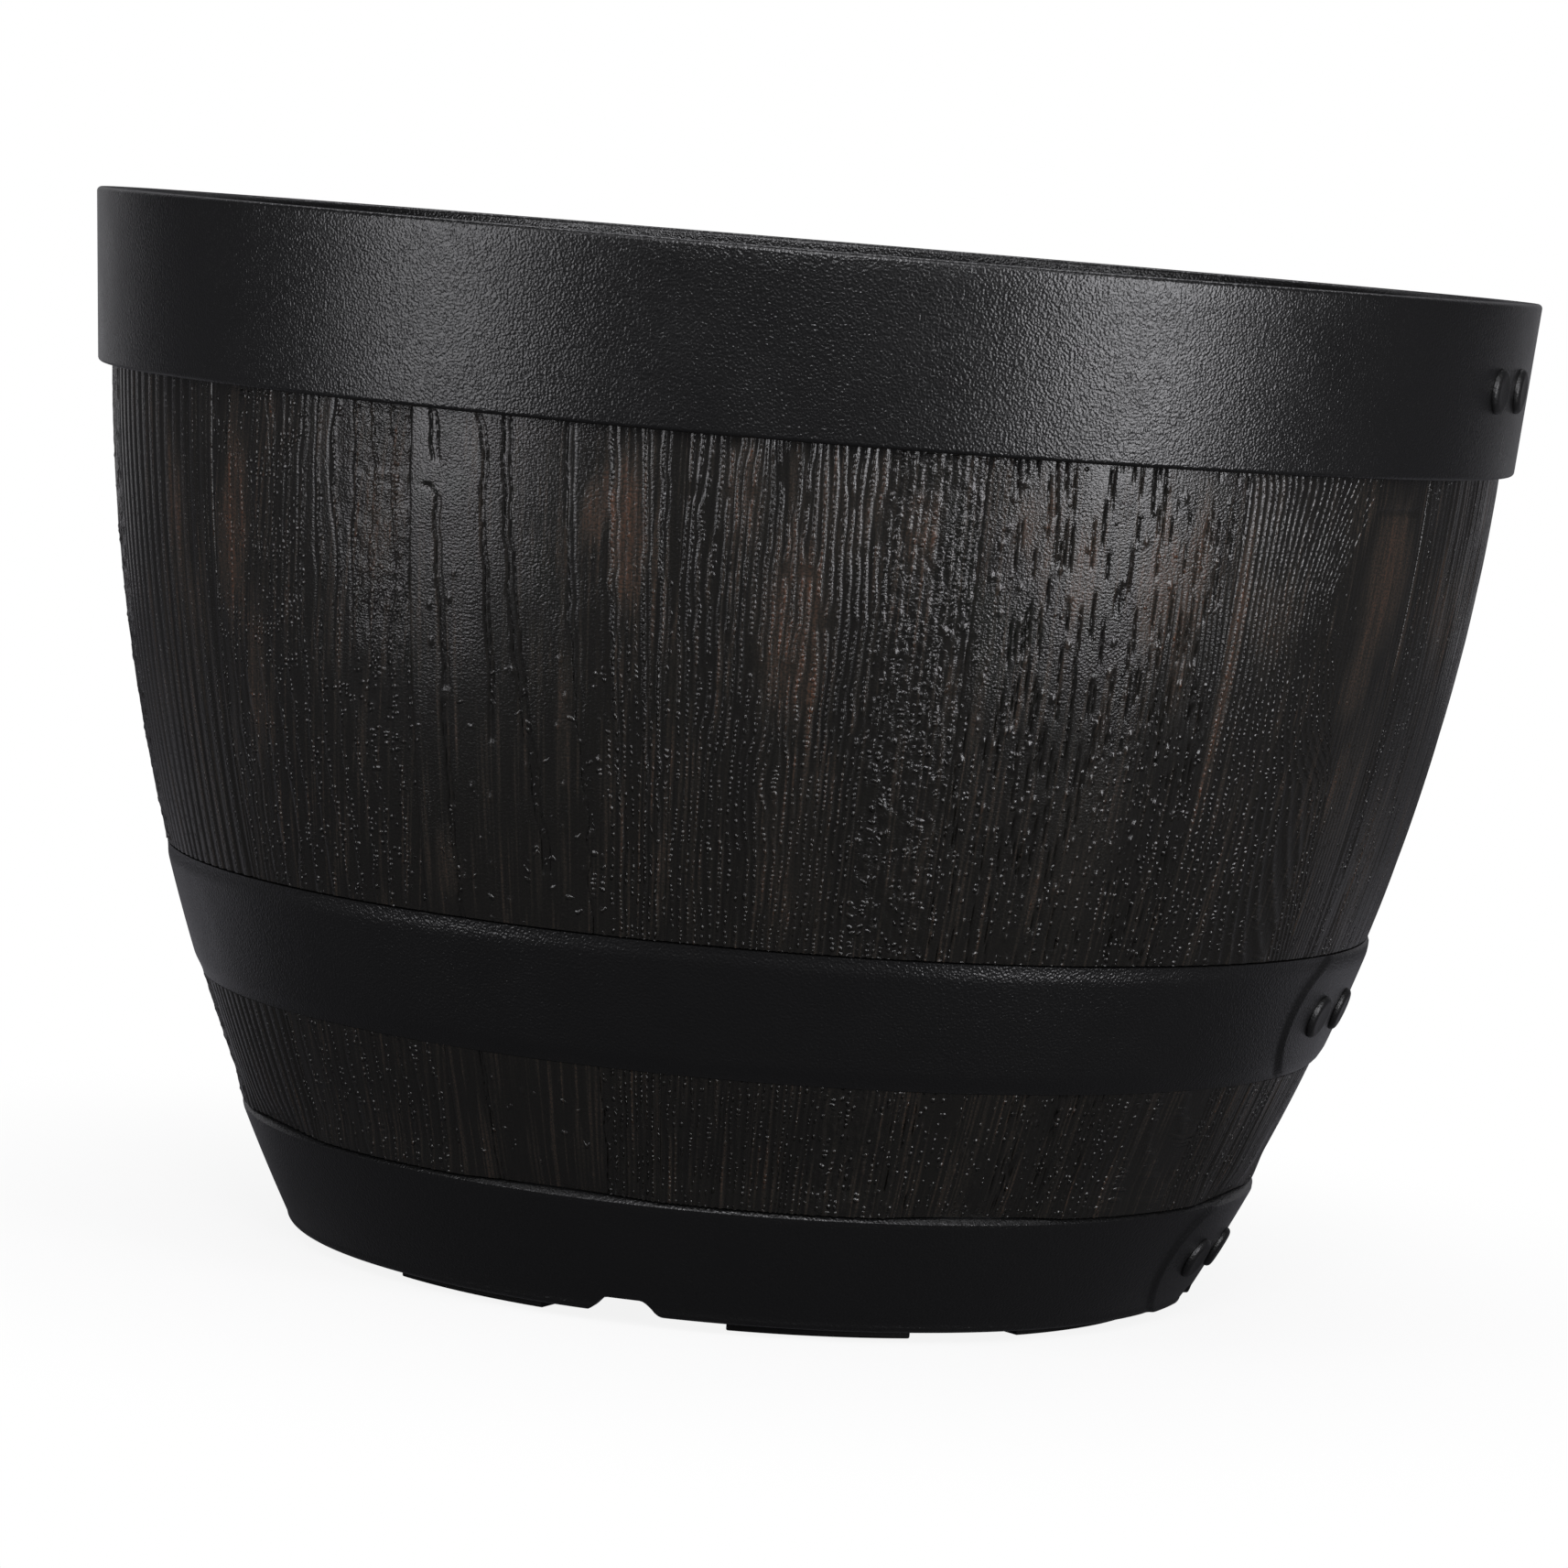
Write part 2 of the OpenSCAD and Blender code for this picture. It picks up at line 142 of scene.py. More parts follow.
# %% [markdown]
# ## The studio
# A black object is lit by what it mirrors. Two tall softboxes stand to the right and the left of the camera
# and draw the two soft bright stripes down the pot, and two dim ones behind it give pale edges. Overhead, a
# wide lamp lights the floor and the ledges, a narrow key light in front catches the tops of the grain, and a
# third lamp stands high behind the rim. The seven together light the pot at a plain level, so that a colour
# comes out about as it is written.
# %% Softboxes
DAYLIGHT = (0.97, 0.965, 1.0)


def lamp(name, place, width, height, radiance):
    """A rectangular lamp that shines along its own -Z. radiance 1 is a white card's brightness."""
    data = bpy.data.lights.new(name, "AREA")
    data.shape = "RECTANGLE"
    data.size = width
    data.size_y = height
    data.energy = radiance * math.pi * width * height
    data.color = DAYLIGHT
    piece = bpy.data.objects.new(name, data)
    scene.collection.objects.link(piece)
    piece.matrix_world = place
    piece.visible_camera = False


def standing_softbox(name, azimuth, distance, low, high, width, radiance):
    """A softbox that stands upright round the pot at an azimuth, from one height to another."""
    turn = Matrix.Rotation(math.radians(azimuth), 4, "Z")
    stand = Matrix.Translation((0, -distance, (low + high) / 2))
    lamp(name, turn @ stand @ Matrix.Rotation(math.radians(90), 4, "X"), width, high - low, radiance)


def hanging_lamp(name, lean, distance, width, depth, radiance):
    """A lamp over the pot, tipped by an angle to the front, or to the back where that is negative."""
    place = Matrix.Rotation(math.radians(lean), 4, "X") @ Matrix.Translation((0, 0, distance))
    lamp(name, place, width, depth, radiance)


# Azimuth, distance, lower and upper end, width and radiance.
STANDING = {
    "softbox_right": (47, 1.0, 0.01, 0.80, 0.30, 7.3),
    "softbox_left": (-54, 1.0, 0.01, 0.80, 0.32, 3.9),
    "softbox_rear_right": (150, 1.1, 0.05, 0.9, 0.50, 0.2),
    "softbox_rear_left": (-148, 1.1, 0.05, 0.9, 0.50, 0.3),
}
# Lean, distance, width, depth and radiance.
HANGING = {
    "softbox_top": (28, 2.2, 2.2, 1.3, 1.05),
    "key_light": (55, 2.0, 0.45, 0.95, 9.0),
    "softbox_rear_high": (-32, 1.8, 1.4, 0.6, 2.2),
}
for name, setting in STANDING.items():
    standing_softbox(name, *setting)
for name, setting in HANGING.items():
    hanging_lamp(name, *setting)

# %% [markdown]
# ## Background and floor
# The background is plain white. The world shows as white to the camera and to mirror-like rays, and lights
# the pot only dimly. The floor is white paper that keeps the pot's shadow near it and fades into the white
# background further out. Only the camera meets it as white: to all other rays it is grey, so that it throws
# less light up on the pot. Photographers set black cards round a black object, out of the picture, so that
# it doesn't mirror the white room and turn grey. Here a dark dome and floor mat do that, and only
# reflections see them. They are not lit cards: each gives off a dim glow of its own, a painted reflection of
# dark cards. The mat's glow is painted light too: it is brighter close behind the pot, where more light would
# reach a card, and a little brighter far from it.
# %% World, floor and dimly glowing black cards
AMBIENT = 0.22
PAPER = "#f4f4f4"
BOUNCE_GREY = "#6e6e6e"
SHADOW_NEAR = 0.13
SHADOW_FAR = 0.34
SHADOW_WHITE = 0.88
CARD_GLOW = 0.064
REAR_GLOW = 0.25
FAR_GLOW = 0.084
CARD_NEAR = 0.35
CARD_FAR = 0.8
CARD_BEHIND = 0.2
CARD_TINT = (0.92, 0.91, 1.0, 1)
WHITE = (1, 1, 1, 1)
FLOOR_SIZE = 40
STUDIO_R = 6
MAT_LIFT = 0.2 * MM

world = bpy.data.worlds.new("studio")
scene.world = world
world.use_nodes = True
tree = world.node_tree
tree.nodes.clear()
rays = add(tree, "ShaderNodeLightPath").outputs
seen = maths(tree, "MAXIMUM", rays["Is Camera Ray"], rays["Is Glossy Ray"])
seen = maths(tree, "MAXIMUM", seen, rays["Is Transmission Ray"])
sky = {"Color": WHITE, "Strength": remap(tree, seen, 0.0, 1.0, AMBIENT, 1.0)}
sky = add(tree, "ShaderNodeBackground", sky)
add(tree, "ShaderNodeOutputWorld", {"Surface": sky.outputs[0]})

paper, tree, output = new_material("white_background_paper")
far = length(tree, add(tree, "ShaderNodeTexCoord").outputs["Object"])
fade = remap(tree, far, SHADOW_NEAR, SHADOW_FAR, SHADOW_WHITE, 1.0, interpolation_type="SMOOTHSTEP")
camera_ray = add(tree, "ShaderNodeLightPath").outputs["Is Camera Ray"]
glow = maths(tree, "MULTIPLY", fade, camera_ray)
paper_colour = mix_colours(tree, camera_ray, linear(BOUNCE_GREY), linear(PAPER))
matt = add(tree, "ShaderNodeBsdfDiffuse", {"Color": paper_colour})
white = add(tree, "ShaderNodeEmission", {"Color": WHITE, "Strength": 1.0})
mixed = add(tree, "ShaderNodeMixShader", {0: glow, 1: matt.outputs[0], 2: white.outputs[0]})
tree.links.new(mixed.outputs[0], output.inputs["Surface"])


def dim_glowing_card(name, rear_glow, far_glow):
    """A card that glows dimly by itself, a painted reflection, with painted light in its glow: brighter close
    behind the pot, where more light would reach it, and far from it.
    """
    material, tree, output = new_material(name)
    place = add(tree, "ShaderNodeTexCoord").outputs["Object"]
    depth = add(tree, "ShaderNodeSeparateXYZ", {0: place}).outputs["Y"]
    near = remap(tree, length(tree, place), CARD_NEAR, CARD_FAR, 1.0, 0.0)
    # Painted light: the glow rises from the card's own dim level to a brighter one close behind the pot.
    behind = remap(tree, depth, 0.0, CARD_BEHIND, CARD_GLOW, rear_glow)
    glow = mix_numbers(tree, near, far_glow, behind)
    dim = add(tree, "ShaderNodeEmission", {"Color": CARD_TINT, "Strength": glow})
    tree.links.new(dim.outputs[0], output.inputs["Surface"])
    return material


def add_stage(name, material):
    """Makes the new mesh a piece of the studio, with its name and material, and no part of the pot."""
    piece = bpy.context.object
    piece.name = name
    piece.data.materials.clear()
    piece.data.materials.append(material)
    return piece


def seen_only_in_reflections(piece):
    """Hides a piece from every ray but mirror-like ones."""
    for kind in ("camera", "diffuse", "transmission", "volume_scatter", "shadow"):
        setattr(piece, "visible_" + kind, False)


bpy.ops.object.select_all(action="DESELECT")
bpy.ops.mesh.primitive_plane_add(size=FLOOR_SIZE)
add_stage("floor", paper)
# The mat and the dome glow dimly by themselves: painted reflections that only mirror-like rays see.
bpy.ops.mesh.primitive_circle_add(vertices=64, radius=STUDIO_R, fill_type="NGON", location=(0, 0, MAT_LIFT))
seen_only_in_reflections(add_stage("glowing_floor_mat", dim_glowing_card("dim_glowing_mat", REAR_GLOW, FAR_GLOW)))
bpy.ops.mesh.primitive_uv_sphere_add(segments=48, ring_count=24, radius=STUDIO_R)
seen_only_in_reflections(add_stage("glowing_dome_of_cards", dim_glowing_card("dim_glowing_card", CARD_GLOW, CARD_GLOW)))

# %% [markdown]
# ## The barrel's curve
# Seen from the side, the wall is one arc of a large circle. Every stave, hoop and rivet lies on it, so the
# rule is written once. A place on the wall is an azimuth, counted from the front towards +X, a height, and
# how far it stands out from the staves, square to the wall.
# %% Places on the wall
rim_low, rim_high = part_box("rim_band")
middle_low, middle_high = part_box("middle_hoop")
base_low, base_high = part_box("base_hoop")
TOP = rim_high.z
RIM_PROUD = 6 * MM
BELLY_DROP = 5.9 * MM
CURVE_R = 566 * MM
BELLY_R = rim_high.y - RIM_PROUD
BELLY_Z = TOP - BELLY_DROP
CURVE_CENTRE = BELLY_R - CURVE_R


def wall_point(azimuth, z, out=0.0):
    """Points that stand out from the staves' faces at an azimuth and a height."""
    tilt = np.arcsin((z - BELLY_Z) / CURVE_R)
    radius = CURVE_CENTRE + (CURVE_R + out) * np.cos(tilt)
    turn = np.radians(azimuth)
    height = BELLY_Z + (CURVE_R + out) * np.sin(tilt)
    return np.stack([radius * np.sin(turn), -radius * np.cos(turn), height], axis=-1)


def wall_radius(z, out=0.0):
    """Radius at a height of the face that lies out from the staves."""
    return CURVE_CENTRE + math.sqrt((CURVE_R + out) ** 2 - (z - BELLY_Z) ** 2)


def wall_place(points):
    """The other way round: azimuth in degrees, height on the wall and distance out of each point."""
    radius = np.hypot(points[:, 0], points[:, 1])
    rise = points[:, 2] - BELLY_Z
    reach = np.hypot(radius - CURVE_CENTRE, rise)
    azimuth = np.degrees(np.arctan2(points[:, 0], -points[:, 1]))
    return azimuth, BELLY_Z + CURVE_R * rise / reach, reach - CURVE_R


print("staves' radius at the belly", round(BELLY_R / MM, 1))
print("and at the foot", round(wall_radius(3 * MM) / MM, 1))

# %% [markdown]
# ## Drawing and spinning a section
# Most of the pot is round, so it is made as on a lathe: half of its section is drawn point by point with
# extrude, and spun round the axis. Spin can turn a shape inside out, so its doubles are merged first and
# its normals are then recalculated.
# %% Helpers for spun pieces


def select_only(piece):
    """Makes a piece the only one selected, and the active one."""
    bpy.ops.object.select_all(action="DESELECT")
    piece.select_set(True)
    bpy.context.view_layer.objects.active = piece


def draw_section(name, outline, closed):
    """Draws (radius, height) points in the plane towards the front and stays in edit mode."""
    bpy.ops.object.select_all(action="DESELECT")
    bpy.ops.mesh.primitive_plane_add(size=MM)
    piece = bpy.context.object
    piece.name = name
    bpy.ops.object.mode_set(mode="EDIT")
    bpy.ops.mesh.select_mode(type="VERT")
    bpy.ops.mesh.select_all(action="SELECT")
    bpy.ops.mesh.merge(type="CENTER")
    bpy.ops.transform.translate(value=(0, -outline[0][0], outline[0][1]))
    path = list(outline) + [outline[0]] * closed
    for here, there in zip(path, path[1:]):
        step = (0, here[0] - there[0], there[1] - here[1])
        bpy.ops.mesh.extrude_vertices_move(TRANSFORM_OT_translate={"value": step})
    merge_all()
    return piece


def merge_all():
    """Merges what lies in one place and leaves everything selected."""
    bpy.ops.mesh.select_all(action="SELECT")
    bpy.ops.mesh.remove_doubles(threshold=0.001 * MM)
    bpy.ops.mesh.select_all(action="SELECT")


def spin(angle, steps):
    """Spins the selection round the pot's axis, towards larger azimuths."""
    bpy.ops.mesh.spin(steps=steps, angle=math.radians(angle), center=(0, 0, 0), axis=(0, 0, -1))


def close_up(smooth_angle):
    """Merges the seams, points the faces outwards, leaves edit mode and shades the piece."""
    merge_all()
    bpy.ops.mesh.normals_make_consistent(inside=False)
    bpy.ops.object.mode_set(mode="OBJECT")
    bpy.ops.object.shade_smooth_by_angle(angle=math.radians(smooth_angle))


def arc(centre, radius, start, end, steps):
    """Points of a rounded corner in a section, angles in degrees from straight outwards."""
    angles = np.radians(np.linspace(start, end, steps + 1))
    return [(centre[0] + radius * math.cos(a), centre[1] + radius * math.sin(a)) for a in angles]


def wall_line(out, start, end, step):
    """Points of a section along the barrel's curve, from one height to another."""
    count = max(2, math.ceil(abs(end - start) / step) + 1)
    return [(wall_radius(z, out), z) for z in np.linspace(start, end, count)]


def finish_piece(piece, material, body, slot, *nodes):
    """Gives a piece its material and body, and hides the CAD nodes that it stands for. slot is not used."""
    piece.data.name = piece.name
    piece.data.materials.clear()
    piece.data.materials.append(material)
    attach(piece, body)
    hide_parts(*nodes)
    print(piece.name, len(piece.data.polygons), "faces")


# %% [markdown]
# ## Wood-grained polypropylene
# The staves are injection-moulded polypropylene from a mould cut after real brushed oak. Ridges, cracks and
# steps are in the shape. What is finer than a millimetre is in the material's bump: the wrinkled skin of an
# etched mould, and the pores, which stand out as small shiny beads. Brown paint was dry-brushed on by hand.
# It is more matt, sits on what stands out and breaks up into strokes. Each stave carries two maps and seven
# values for each point, which say where there is paint, skin and beads.
# %% Stave material
PLASTIC_BLACK = "#12110f"
OLIVE_DUST = "#43413a"
BRUSHED_BROWN = "#513526"
PP_IOR = 1.49
STAVE_GLOSS = 0.72
STAVE_ROUGH = 0.24
PAINT_ROUGH = 0.34
BEAD_ROUGH = 0.20
SKIN_MM = 0.115
FIBRE_MM = 0.05
BEAD_TALL = 0.50
BEAD_WIDTHS = (0.75, 1.2)
BEAD_HEIGHTS = (0.15, 1.15)
PAINT_LOAD = 1.4


def noise(tree, vector, across, along, detail=2.0):
    """Cloudy noise from 0 to 1 on a map in metres. across and along are the sizes of its hills."""
    scaled = add(tree, "ShaderNodeMapping", {"Vector": vector, "Scale": (1 / across, 1 / along, 1)})
    cloud = add(tree, "ShaderNodeTexNoise", {"Vector": scaled.outputs[0], "Scale": 1.0, "Detail": detail})
    return cloud.outputs["Fac"]


def bead_tops(tree, cells_map, share, width, scatter):
    """Domes, at most one to a cell of the map: their height at each point, and 0 off them."""
    cells = add(tree, "ShaderNodeTexVoronoi", {"Vector": cells_map, "Scale": 1.0, "Randomness": scatter})
    cells.voronoi_dimensions = "2D"
    away = {0: cells_map, 1: cells.outputs["Position"]}
    away = add(tree, "ShaderNodeVectorMath", away, operation="SUBTRACT").outputs[0]
    chance = add(tree, "ShaderNodeSeparateColor", {0: cells.outputs["Color"]}).outputs
    wide = maths(tree, "MULTIPLY", width, remap(tree, chance[1], 0.0, 1.0, *BEAD_WIDTHS))
    size = add(tree, "ShaderNodeCombineXYZ", {0: wide, 1: BEAD_TALL, 2: 1.0}).outputs[0]
    away = add(tree, "ShaderNodeVectorMath", {0: away, 1: size}, operation="DIVIDE").outputs[0]
    away = length(tree, away)
    tall = remap(tree, chance[2], 0.0, 1.0, *BEAD_HEIGHTS)
    round_top = remap(tree, maths(tree, "MULTIPLY", away, away), 0.0, 1.0, tall, 0.0)
    there = maths(tree, "LESS_THAN", chance[0], share)
    return maths(tree, "MULTIPLY", round_top, there)


def skin_shader(tree, output, colour, roughness, height, distance, gloss):
    """Polypropylene or rubber: its colour, shine and relief. distance is how high 1 is, in metres."""
    relief = add(tree, "ShaderNodeBump", {"Height": height, "Strength": 1.0, "Distance": distance})
    inputs = {
        "Base Color": colour,
        "Roughness": roughness,
        "Normal": relief.outputs[0],
        "IOR": PP_IOR,
        "Specular IOR Level": gloss,
    }
    shader = add(tree, "ShaderNodeBsdfPrincipled", inputs)
    tree.links.new(shader.outputs[0], output.inputs["Surface"])


staves_plastic, tree, output = new_material("injection_moulded_polypropylene_wood_grain")
flat = add(tree, "ShaderNodeUVMap", uv_map="board").outputs[0]
bead_cells = add(tree, "ShaderNodeUVMap", uv_map="beads").outputs[0]
brown, raised, skin_share, bead_share, bead_width, bead_height, bead_scatter = (
    add(tree, "ShaderNodeAttribute", attribute_name=name).outputs["Fac"]
    for name in ("brown", "raised", "skin", "bead_share", "bead_width", "bead_height", "bead_scatter")
)
beads_up = bead_tops(tree, bead_cells, bead_share, bead_width, bead_scatter)
strokes = noise(tree, flat, 0.5 * MM, 12 * MM, 3.0)
fibre = noise(tree, flat, 0.35 * MM, 5 * MM)
skin = noise(tree, flat, 0.70 * MM, 0.60 * MM, 1.6)

# Paint: strokes of the brush times what stands out.
bristle = remap(tree, strokes, 0.36, 0.64, 0.45, 1.0)
upper = remap(tree, raised, 0.25, 0.75, 0.35, 1.0)
upper = maths(tree, "ADD", upper, maths(tree, "MULTIPLY", beads_up, 0.5))
patchy = remap(tree, skin, 0.40, 0.60, 0.45, 1.0)
brushed = maths(tree, "MULTIPLY", brown, bristle)
painted = maths(tree, "MULTIPLY", brushed, maths(tree, "MULTIPLY", upper, patchy))
painted = maths(tree, "MULTIPLY", painted, PAINT_LOAD)
painted = add(tree, "ShaderNodeClamp", {"Value": painted}).outputs[0]
hue = mix_colours(tree, painted, linear(OLIVE_DUST), linear(BRUSHED_BROWN))
colour = mix_colours(tree, painted, linear(PLASTIC_BLACK), hue)

# Shine: beads are the most polished, paint the least.
rough = remap(tree, painted, 0.0, 1.0, STAVE_ROUGH, PAINT_ROUGH)
rough = mix_numbers(tree, beads_up, rough, BEAD_ROUGH)

# Relief in millimetres.
skin_mm = maths(tree, "MULTIPLY", maths(tree, "MULTIPLY", skin, skin_share), 2 * SKIN_MM)
fine_mm = maths(tree, "ADD", skin_mm, maths(tree, "MULTIPLY", fibre, FIBRE_MM))
height = maths(tree, "ADD", fine_mm, maths(tree, "MULTIPLY", beads_up, bead_height))
skin_shader(tree, output, colour, rough, height, MM, STAVE_GLOSS)
print("stave material:", len(tree.nodes), "nodes")

# %% [markdown]
# ## Black plastic of the bands, black rubber
# The rim band, the hoops and the rivets are the same polypropylene with a leather texture etched into the
# mould: fine wrinkles well under a millimetre apart, fainter and more matt on the rivets. The inside of the
# pot is plain satin. Pads and plugs are moulded EPDM rubber, which is matt with hardly any shine.
# %% Plain black materials
BAND_BLACK = "#101010"
RUBBER_BLACK = "#141414"
LEATHER = 0.62 * MM
WEAR = 0.02
WEAR_SHARE = 0.04


def black_plastic(name, colour_hex, roughness, wrinkle, depth, gloss):
    """Black plastic or rubber whose wrinkled skin is a little more worn in places. Sizes in metres."""
    material, tree, output = new_material(name)
    place = add(tree, "ShaderNodeTexCoord").outputs["Object"]
    fine = add(tree, "ShaderNodeTexNoise", {"Vector": place, "Scale": 1 / wrinkle, "Detail": 0.6})
    blotch = {"Vector": place, "Scale": WEAR_SHARE / wrinkle, "Detail": 2.0}
    blotch = add(tree, "ShaderNodeTexNoise", blotch).outputs["Fac"]
    rough = remap(tree, blotch, 0.3, 0.7, roughness - WEAR, roughness + WEAR)
    skin_shader(tree, output, linear(colour_hex), rough, fine.outputs["Fac"], depth, gloss)
    return material


band_plastic = black_plastic(
    "leather_textured_polypropylene",
    BAND_BLACK,
    roughness=0.29,
    wrinkle=LEATHER,
    depth=0.20 * MM,
    gloss=0.72,
)
rivet_plastic = black_plastic(
    "leather_textured_rivet_plastic",
    BAND_BLACK,
    roughness=0.42,
    wrinkle=LEATHER,
    depth=0.12 * MM,
    gloss=0.65,
)
satin_plastic = black_plastic(
    "satin_polypropylene",
    BAND_BLACK,
    roughness=0.33,
    wrinkle=0.8 * MM,
    depth=0.03 * MM,
    gloss=0.45,
)
rubber = black_plastic(
    "moulded_EPDM_rubber",
    RUBBER_BLACK,
    roughness=0.6,
    wrinkle=0.6 * MM,
    depth=0.03 * MM,
    gloss=0.3,
)
print("materials:", [m.name for m in bpy.data.materials])

# %% [markdown]
# ## The pot inside the staves
# Under the staves the pot is one plain moulding: wall, floor with a rounded corner, foot, and on the
# underside the collars of the drain holes and the lugs that carry the rubber pads. The wall is spun from
# its section. Collars, lugs, holes and drainage notches are then added and cut with Boolean modifiers.
# %% Spin the pot
WALL_T = 3.4 * MM
FLOOR_LOW = 11 * MM
FLOOR_TOP = 14.2 * MM
FLOOR_ROUND = 7 * MM
FOOT_Z = base_low.z
WALL_TOP = TOP - 3 * MM
JOINT_DEPTH = 0.9 * MM
MIDDLE_SEAT = 1.3 * MM
BASE_SEAT = 1.1 * MM
SEAT_GAP = 0.1 * MM
POT_STEPS = 240

corner_z = FLOOR_TOP + FLOOR_ROUND
corner_r = wall_radius(corner_z, -WALL_T) - FLOOR_ROUND
section = (
    [(0, FLOOR_LOW)]
    + wall_line(-WALL_T, FLOOR_LOW, FOOT_Z, 4 * MM)
    + wall_line(-BASE_SEAT, FOOT_Z, base_high.z + SEAT_GAP, 6 * MM)
    + wall_line(-JOINT_DEPTH, base_high.z + SEAT_GAP, middle_low.z - SEAT_GAP, 6 * MM)
    + wall_line(-MIDDLE_SEAT, middle_low.z - SEAT_GAP, middle_high.z + SEAT_GAP, 6 * MM)
    + wall_line(-JOINT_DEPTH, middle_high.z + SEAT_GAP, WALL_TOP, 6 * MM)
    + wall_line(-WALL_T, WALL_TOP, corner_z, 6 * MM)
    + arc((corner_r, corner_z), FLOOR_ROUND, 0, -90, 8)[1:]
    + [(0, FLOOR_TOP)]
)
pot = draw_section("pot_core", section, closed=False)
spin(360, POT_STEPS)
close_up(35)
print("pot_core", len(pot.data.polygons), "faces before the holes")

# %% [markdown]
# A cutter is a plain solid that a Boolean modifier takes away from the piece or adds to it. Applied
# modifiers leave a real mesh, so the cutters can be deleted.
# %% Collars, lugs, drain holes and notches
NOTCH_AZ = -12.9
NOTCH_W = 21 * MM
NOTCH_TOP_W = 8.5 * MM
NOTCH_H = 4.3 * MM
DRAIN_R = 68 * MM
DRAIN_HOLE_R = 6.5 * MM
COLLAR_R = 9.1 * MM
COLLAR_LOW = 8.5 * MM
SEAT_R = 10.9 * MM
SEAT_FLOOR = 13 * MM
PAD_W = 12 * MM
PAD_ANGLE = 24.4
PAD_OFFSET = 24.5
PAD_INSET = 2.4 * MM
PAD_OUTER = wall_radius(FOOT_Z, -WALL_T) - PAD_INSET
PAD_WALL = 1.2 * MM
CUT_PAST = 5 * MM
HOLE_LOW = 5 * MM
HOLE_HIGH = 20 * MM
LUG_OVERLAP = 0.5 * MM
COLLAR_OVERLAP = 1.5 * MM
NOTCH_REACH = 40 * MM
notch_azimuths = [NOTCH_AZ + 90 * i for i in range(4)]
pad_azimuths = [az + side * PAD_OFFSET for az in notch_azimuths for side in (-1, 1)]


def turned_copy(piece, name, azimuth):
    """A copy with its own mesh, turned about the pot's axis to an azimuth."""
    copy = piece.copy()
    copy.data = piece.data.copy()
    copy.name = name
    scene.collection.objects.link(copy)
    copy.data.transform(Matrix.Rotation(math.radians(azimuth), 4, "Z"))
    return copy


def apply_boolean(piece, other, operation):
    """Adds or cuts away another mesh, and deletes it."""
    select_only(piece)
    bpy.ops.object.modifier_add(type="BOOLEAN")
    modifier = piece.modifiers[-1]
    modifier.operation = operation
    modifier.solver = "EXACT"
    modifier.object = other
    bpy.ops.object.modifier_apply(modifier=modifier.name)
    bpy.data.objects.remove(other)


def joined(pieces):
    """Several separate solids as one object."""
    bpy.ops.object.select_all(action="DESELECT")
    for piece in pieces:
        piece.select_set(True)
    bpy.context.view_layer.objects.active = pieces[0]
    bpy.ops.object.join()
    return bpy.context.object


def round_bar(radius, low, high):
    """An upright cylinder at the first drain hole's distance, in front."""
    bpy.ops.object.select_all(action="DESELECT")
    bpy.ops.mesh.primitive_cylinder_add(
        vertices=48, radius=radius, depth=high - low, location=(0, -DRAIN_R, (low + high) / 2)
    )
    bpy.ops.object.transform_apply()
    return bpy.context.object


def round_the_pot(piece, azimuths):
    """One object with a copy of the piece at each azimuth."""
    copies = [turned_copy(piece, "cutter", azimuth) for azimuth in azimuths]
    bpy.data.objects.remove(piece)
    return joined(copies)


def notch_cutter():
    """A flat-topped tunnel whose sides run out smoothly into the foot's edge."""
    side = []
    for i in range(9):
        slope = (1 + math.cos(math.pi * i / 8)) / 2
        side.append((NOTCH_TOP_W / 2 + (NOTCH_W - NOTCH_TOP_W) / 2 * i / 8, FOOT_Z + NOTCH_H * slope))
    outline = side + [(NOTCH_W / 2, -CUT_PAST), (-NOTCH_W / 2, -CUT_PAST)]
    outline += [(-x, z) for x, z in reversed(side)]
    cutter = draw_section("cutter", outline, closed=True)
    bpy.ops.mesh.edge_face_add()
    bpy.ops.mesh.extrude_region_move(TRANSFORM_OT_translate={"value": (NOTCH_REACH, 0, 0)})
    bpy.ops.mesh.select_all(action="SELECT")
    bpy.ops.mesh.normals_make_consistent(inside=False)
    bpy.ops.object.mode_set(mode="OBJECT")
    quarter_turn = Matrix.Rotation(math.radians(-90), 4, "Z")
    cutter.data.transform(Matrix.Translation((0, -(PAD_OUTER - PAD_W), 0)) @ quarter_turn)
    return cutter


def lug():
    """One lug under the floor, spun over the angle that its pad leaves free."""
    inset = math.degrees(PAD_WALL / PAD_OUTER)
    inner, outer = PAD_OUTER - PAD_W + PAD_WALL, PAD_OUTER - PAD_WALL
    top = FLOOR_LOW + LUG_OVERLAP
    outline = [(inner, FOOT_Z), (outer, FOOT_Z), (outer, top), (inner, top)]
    piece = draw_section("cutter", outline, closed=True)
    bpy.ops.mesh.edge_face_add()
    spin(PAD_ANGLE - 2 * inset, 10)
    close_up(30)
    piece.data.transform(Matrix.Rotation(math.radians(inset - PAD_ANGLE / 2), 4, "Z"))
    return piece


collar = round_bar(COLLAR_R, COLLAR_LOW, FLOOR_LOW + COLLAR_OVERLAP)
apply_boolean(pot, round_the_pot(collar, notch_azimuths), "UNION")
apply_boolean(pot, round_the_pot(lug(), pad_azimuths), "UNION")
drain_hole = round_bar(DRAIN_HOLE_R, HOLE_LOW, HOLE_HIGH)
apply_boolean(pot, round_the_pot(drain_hole, notch_azimuths), "DIFFERENCE")
plug_seat = round_bar(SEAT_R, SEAT_FLOOR, HOLE_HIGH)
apply_boolean(pot, round_the_pot(plug_seat, notch_azimuths), "DIFFERENCE")
apply_boolean(pot, round_the_pot(notch_cutter(), notch_azimuths), "DIFFERENCE")
bpy.ops.object.shade_smooth_by_angle(angle=math.radians(35))
finish_piece(pot, satin_plastic, "pot", "stave_plastic", "barrel_shell")

